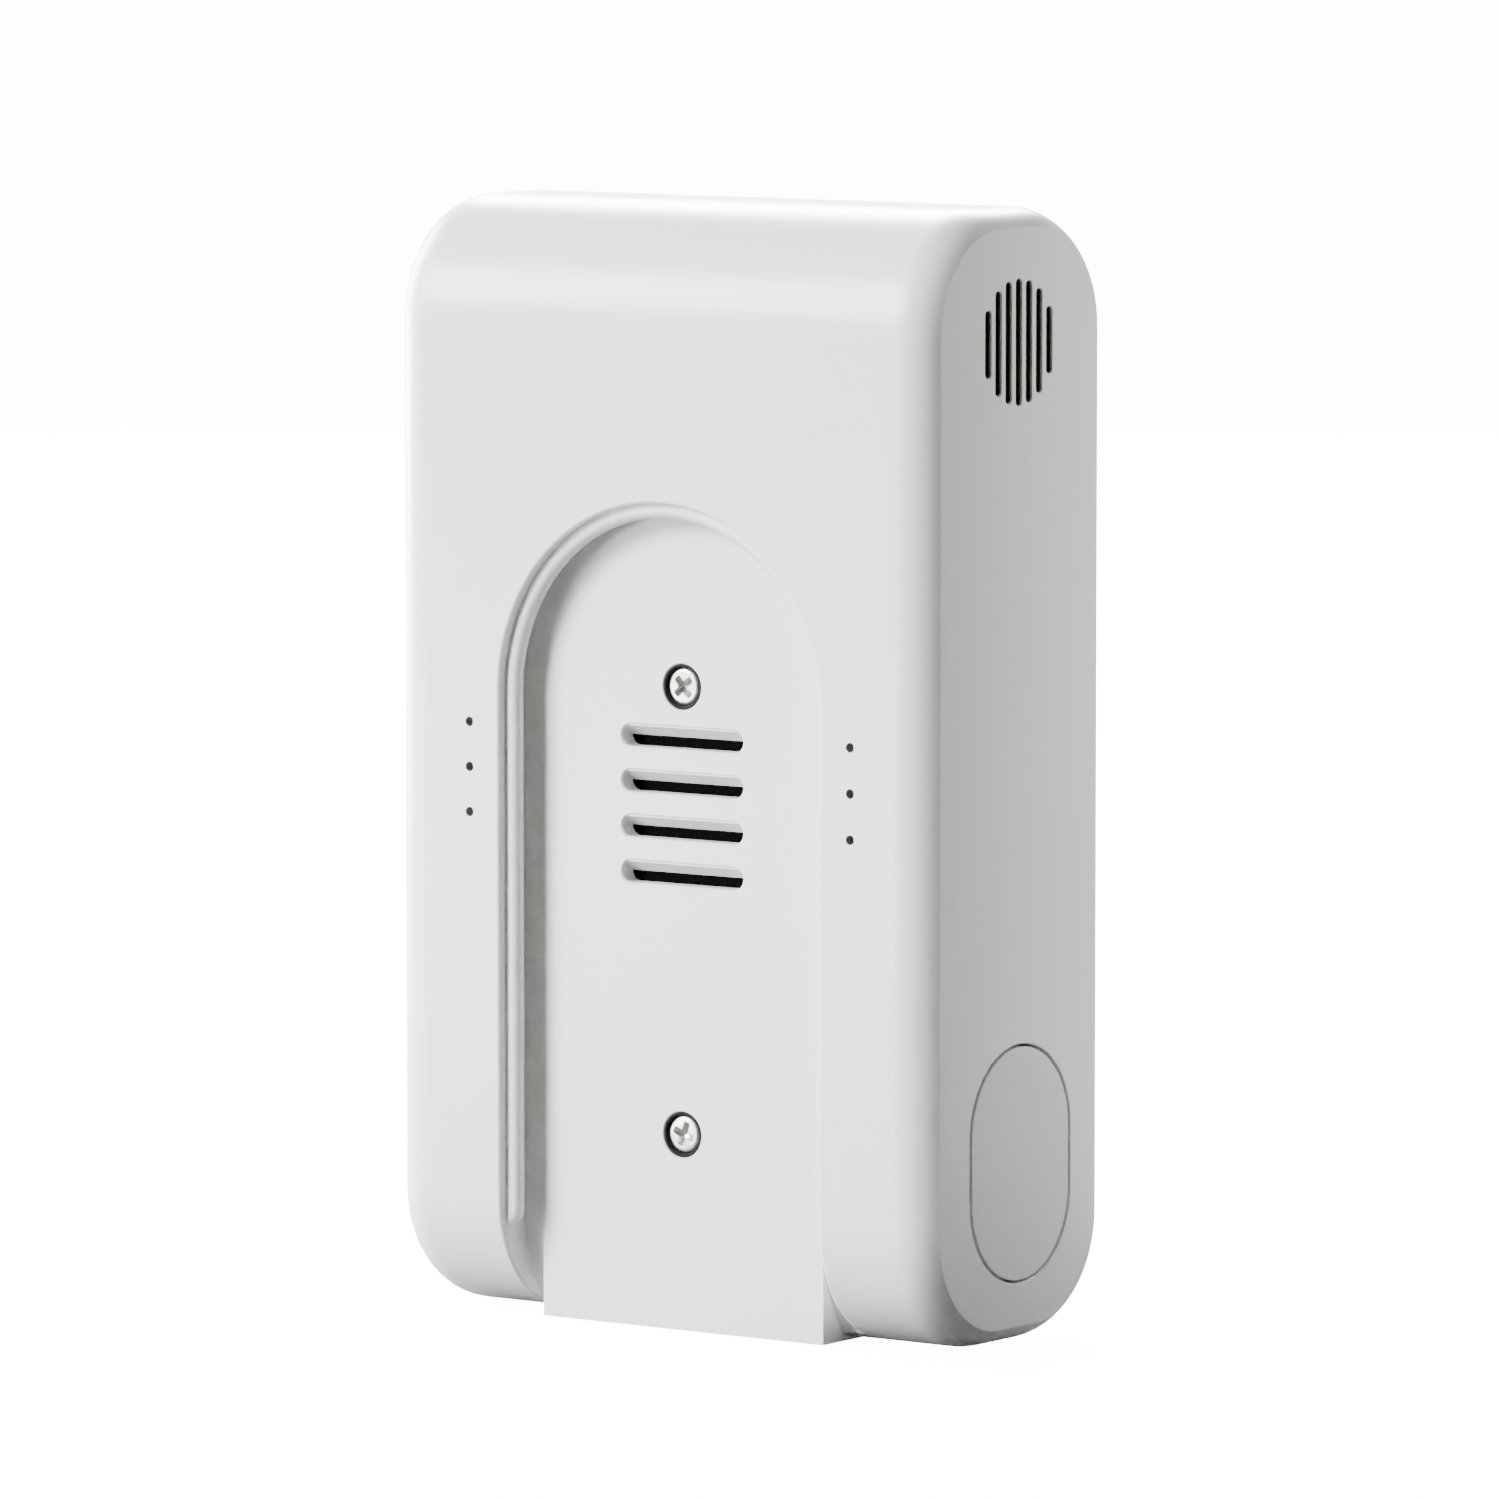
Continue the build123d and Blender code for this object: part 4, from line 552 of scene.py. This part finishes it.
# ---------------------------------------------------------------- small chips and sensors
# The camera's sensor under its cover glass, the light sensor and the six side-lit lamps of
# the bell's ring, each a moulded package with rounded edges.
lamp = moulded("lamp_white", colour(0.72, 0.70, 0.52), 0.40, 0.0003, 0.000004, cast=0.06)
lamps = bmesh.new()
for lowest, highest in solids("ring_leds"):
    brick(lamps, lowest, highest, 0.08)
make("ring_lamps", lamps, lamp, "lamp_white", "ring_leds")
eye = bmesh.new()
for lowest, highest in solids("light_sensor"):
    brick(eye, lowest, highest, 0.12, 3)
make("daylight_sensor", eye, epoxy, "chip_black", "light_sensor")
chip_glass = moulded("sensor_glass", colour(0.030, 0.045, 0.060), 0.10, 0.0004, 0.000001, cast=0.3,
                     Coat_Weight=0.8)
paint(chip_glass, "image_sensor")


# ---------------------------------------------------------------- lead sockets and microphone
# Ivory nylon crimp sockets on the wall side of the main board, and the microphone's tinned
# can in its rubber boot. The leads that plug in aren't part of this assembly.
paint(moulded("socket_ivory", colour(0.66, 0.62, 0.50), 0.45, 0.0004, 0.000005, cast=0.05), "board_sockets")
can = plated("can_metal", colour(0.58, 0.56, 0.50), 0.28, 0.0005, 0.000004)
mic_can = bmesh.new()
for lowest, highest in solids("microphone"):
    brick(mic_can, lowest, highest, 0.15, 3)
make("microphone_can", mic_can, can, "can_metal", "microphone")
paint(rubber, "mic_boot")


# ---------------------------------------------------------------- chassis, battery pack and tape
# The chassis is moulded in grey glass-filled nylon. The pack is a pouch cell in a heat-shrunk
# film, and lies on two strips of black foam tape.
paint(moulded("chassis_grey", colour(0.20, 0.205, 0.21), 0.50, 0.0005, 0.000008, cast=0.08), "chassis")
wrap = Finish("pack_wrap")
creases = wrap.noise(0.008, 5.0, 0.55, wrap.place((0.3, 1.0, 1.6)))
film = wrap.noise(0.03, 2.0)
wrap.surface(Base_Color=wrap.blend(film, colour(0.030, 0.085, 0.200), colour(0.045, 0.120, 0.260)),
             Roughness=creases * 0.2 + 0.16, Normal=wrap.relief(creases, 0.00015, 0.5), Coat_Weight=0.4)
paint(wrap, "battery_pack")
foam = Finish("foam_black")
cells = foam.node("ShaderNodeTexVoronoi", {}, {"Vector": foam.place(), "Scale": 4500.0})
foam.surface(Base_Color=foam.blend(cells, colour(0.008, 0.008, 0.008), colour(0.045, 0.045, 0.047)),
             Roughness=0.98 - cells * 0.15, Normal=foam.relief(cells, 0.00012))
paint(foam, "battery_tape")


# ---------------------------------------------------------------- small screws
# Steel thread-forming screws with a dark phosphate finish, in the boards, the camera, the
# panel and the key's board.
paint(plated("screw_steel", colour(0.34, 0.34, 0.35), 0.36, 0.00025, 0.000006),
      "board_screws", "camera_screws", "panel_screws", "key_screws")


# ---------------------------------------------------------------- speaker
# A 20 mm speaker, open to the side grille: a black moulded basket, a coated paper cone that
# is pressed in rings, a plated magnet, and a foam gasket that seals it to the housing.
CONE_CENTRE = (0.0307, -0.0002, 0.106)
CONE_RINGS = 9000.0
cone = Finish("cone_grey")
from_centre = cone.node("ShaderNodeVectorMath", {"operation": "SUBTRACT"}, {0: cone.place(), 1: CONE_CENTRE})
reach = cone.node("ShaderNodeVectorMath", {"operation": "LENGTH"}, {0: from_centre}, output=1)
ribs = cone.node("ShaderNodeMath", {"operation": "SINE"}, {0: reach * CONE_RINGS}) * 0.5 + 0.5
pulp = cone.noise(0.0005, 4.0, 0.7, cone.place((1.0, 1.0, 0.3)))
cone.surface(Base_Color=cone.blend(pulp, colour(0.030, 0.030, 0.032), colour(0.075, 0.073, 0.072)),
             Roughness=0.8 - ribs * 0.2, Normal=cone.relief(ribs * 0.6 + pulp * 0.4, 0.00008))
paint(cone, "speaker_cone")
holder_black = moulded("holder_black", colour(0.020, 0.020, 0.021), 0.50, 0.0004, 0.000008, cast=0.15)
paint(holder_black, "speaker_frame")
paint(foam, "speaker_gasket")
paint(plated("magnet_grey", colour(0.42, 0.42, 0.43), 0.32, 0.0006, 0.000005), "speaker_magnet")


# ---------------------------------------------------------------- antenna
# A flexible printed antenna on black film, stuck to the chassis beside the camera board. Its
# copper runs to and fro under the film.
film = Finish("antenna_black")
turns = film.node("ShaderNodeTexBrick", {"offset": 0.5},
                  {"Vector": film.place(turn=upright), "Scale": 1.0, "Mortar Size": 0.00018,
                   "Brick Width": 0.0034, "Row Height": 0.0017}, output=1)
wear = film.noise(0.002, 3.0)
film.surface(Base_Color=film.blend(turns, colour(0.016, 0.016, 0.017), colour(0.090, 0.062, 0.036)),
             Roughness=wear * 0.15 + 0.30, Normal=film.relief(turns, 0.00004))
flag = bmesh.new()
for lowest, highest in solids("antenna"):
    brick(flag, lowest, highest, 0.15, 3)
make("antenna_flag", flag, film, "antenna_black", "antenna")


# ---------------------------------------------------------------- camera lens
# A turned black barrel with anti-glare steps at its mouth and a fine thread at its foot,
# screwed into a moulded holder. Inside it sit the coated front glass and a black stop ring.
THREAD_TURNS = 12
BARREL_PITCH = 0.16
BARREL_THREAD_DEPTH = 0.14
BARREL_RADIUS = 4.5
BARREL_BORE = 3.2
camera_centre = Vector((0.0, 0.0, 91.0))
back, front = (edge[1] * 1000.0 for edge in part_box("lens_barrel"))
thread = [(BARREL_RADIUS - (BARREL_THREAD_DEPTH if turn % 2 else 0.0), back + 0.15 + turn * BARREL_PITCH)
          for turn in range(THREAD_TURNS)]
outside = [(BARREL_RADIUS, back + 2.3), (BARREL_RADIUS, front - 0.25), (4.25, front)]
baffles = [(3.82, front), (3.80, front - 0.10), (3.74, front - 0.12), (3.72, front - 0.30),
           (3.60, front - 0.32), (3.58, front - 0.52), (3.40, front - 0.54), (3.38, front - 0.68),
           (BARREL_BORE, front - 0.7)]
outline = [(4.35, back)] + thread + outside + baffles + [(BARREL_BORE, back)]
barrel = bmesh.new()
spun(barrel, outline, camera_centre)
barrel_black = moulded("barrel_black", colour(0.012, 0.012, 0.013), 0.42, 0.0002, 0.000005, cast=0.2)
make("lens_tube", barrel, barrel_black, "barrel_black", "lens_barrel")
paint(holder_black, "lens_holder")

coated = Finish("lens_coated")
smear = coated.noise(0.002, 2.0)
# Painted reflection: the base colour turns lighter and greenish towards grazing view, standing for the
# coating's coloured reflection. The smear noise is real.
facing = coated.node("ShaderNodeLayerWeight", {}, {"Blend": 0.35}, output=1)
glass_tint_and_painted_reflection = coated.blend(facing + smear * 0.1, colour(0.020, 0.012, 0.045), colour(0.10, 0.16, 0.13))
coated.surface(Base_Color=glass_tint_and_painted_reflection,
               Roughness=smear * 0.03 + 0.02, Coat_Weight=1.0, Coat_Roughness=0.02, IOR=1.6)
paint(coated, "lens_glass")
stop = bmesh.new()
spun(stop, [(3.18, 12.5), (1.5, 12.5), (1.5, 12.2), (1.9, 11.9), (3.18, 11.9)], camera_centre)
make("lens_stop", stop, barrel_black, "barrel_black")


# ---------------------------------------------------------------- camera bezel and window
# A round satin-black surround with the clear window let into its middle. The window is hard
# coated, so that it shows a clean edge and few scratches.
paint(moulded("bezel_black", colour(0.014, 0.014, 0.015), 0.30, 0.00025, 0.000004, cast=0.2,
              Coat_Weight=0.2), "camera_bezel")
pane = Finish("window_clear")
haze = pane.noise(0.004, 3.0)
pane.surface(Base_Color=pane.blend(haze, colour(0.93, 0.94, 0.95), colour(1.0, 1.0, 1.0)),
             Roughness=haze * 0.02 + 0.01, Transmission_Weight=1.0, IOR=1.49)
paint(pane, "camera_window")


# ---------------------------------------------------------------- emitters
# Four 3 mm infrared lamps in clear epoxy tinted violet-black, soldered to their ring board
# and looking out through the bezel.
dark_clear = Finish("emitter_clear")
swirl = dark_clear.noise(0.0012, 3.0)
dark_clear.surface(Base_Color=dark_clear.blend(swirl, colour(0.10, 0.07, 0.14), colour(0.20, 0.15, 0.26)),
                   Roughness=swirl * 0.05 + 0.03, Transmission_Weight=0.6, IOR=1.54)
paint(dark_clear, "emitters")


# ---------------------------------------------------------------- movement sensor
# A milky polyethylene dome over a metal can. The dome's facets are moulded on the inside and
# show through as a soft pattern of lenses.
milky = Finish("pir_milky")
DOME_Z = 0.0645
FACETS_PER_METRE = 480.0
here = milky.node("ShaderNodeTexCoord", output="Object")
middle_of_dome = milky.node("ShaderNodeMapping", {}, {"Vector": here, "Location": (0.0, 0.0, -DOME_Z)})
facets = milky.node("ShaderNodeTexVoronoi", {"feature": "DISTANCE_TO_EDGE"},
                    {"Vector": middle_of_dome, "Scale": FACETS_PER_METRE, "Randomness": 0.15})
ridge = milky.node("ShaderNodeMath", {"operation": "MINIMUM"}, {0: facets * 6.0, 1: 1.0})
cloud = milky.noise(0.003, 3.0)
pattern = milky.blend(ridge * 0.8 + cloud * 0.2, colour(0.50, 0.50, 0.49), colour(0.72, 0.72, 0.71))
milky.surface(Base_Color=pattern,
              Roughness=cloud * 0.1 + 0.32, Normal=milky.relief(ridge, 0.00005, 0.8), Subsurface_Weight=0.5,
              Subsurface_Scale=0.001, Transmission_Weight=0.15, IOR=1.5)
paint(milky, "pir_lens")
paint(can, "pir_sensor")


# ---------------------------------------------------------------- bell button and its ring
# A dished push button of satin white plastic in a ring of frosted light guide. The ring is
# fixed behind the panel.
paint(moulded("button_white", colour(0.74, 0.74, 0.735), 0.36, 0.0003, 0.000003, cast=0.015,
              Coat_Weight=0.15), "bell_button")
paint(moulded("light_guide", colour(0.66, 0.70, 0.74), 0.34, 0.0003, 0.000004, cast=0.03,
              Subsurface_Weight=0.5, Subsurface_Scale=0.003, Transmission_Weight=0.2, IOR=1.49),
      "button_ring")


# ---------------------------------------------------------------- front panel
# A glossy black polycarbonate cover with light wiping marks and a little unevenness from the
# moulding that bends its reflections. A rubber cord under its edge seals it to the housing.
cover = Finish("panel_black")
waves = cover.noise(0.012, 2.0, 0.4)
wipes = cover.noise(0.006, 5.0, 0.75, cover.place((0.35, 1.0, 1.0), (0.0, 0.5, 0.0)))
specks = cover.noise(0.0006, 3.0, 0.6)
cover.surface(Base_Color=cover.blend(waves, colour(0.0055, 0.0055, 0.0065), colour(0.0085, 0.0085, 0.0095)),
              Roughness=wipes * 0.10 + specks * 0.03 + 0.04, Normal=cover.relief(waves, 0.00002, 0.4),
              Coat_Weight=0.6, Coat_Roughness=0.03)
paint(cover, "front_panel")
paint(rubber, "panel_seal")


# ---------------------------------------------------------------- charging socket
# A drawn steel shell with a tongue inside. Twelve gilt contacts lie on each face of the
# tongue and run back to the socket's board.
paint(plated("usb_steel", colour(0.60, 0.60, 0.60), 0.26, 0.0007, 0.000004), "usb_socket")
gilt = plated("contact_gilt", colour(0.78, 0.56, 0.24), 0.24, 0.0003, 0.000003)
CONTACTS_EACH_FACE = 12
CONTACT_PITCH = 0.5
CONTACT_HALF_WIDTH = 0.13
CONTACT_HALF_HEIGHT = 0.02
CONTACT_FACES_Y = (-0.43, 0.27)
CONTACT_FROM_Z = 1.3
CONTACT_TO_Z = 5.5
contacts = bmesh.new()
for step in range(CONTACTS_EACH_FACE):
    x = (step - (CONTACTS_EACH_FACE - 1) / 2) * CONTACT_PITCH
    for y in CONTACT_FACES_Y:
        brick(contacts, Vector((x - CONTACT_HALF_WIDTH, y - CONTACT_HALF_HEIGHT, CONTACT_FROM_Z)),
              Vector((x + CONTACT_HALF_WIDTH, y + CONTACT_HALF_HEIGHT, CONTACT_TO_Z)), 0.01, 1)
make("charging_contacts", contacts, gilt, "usb_steel")
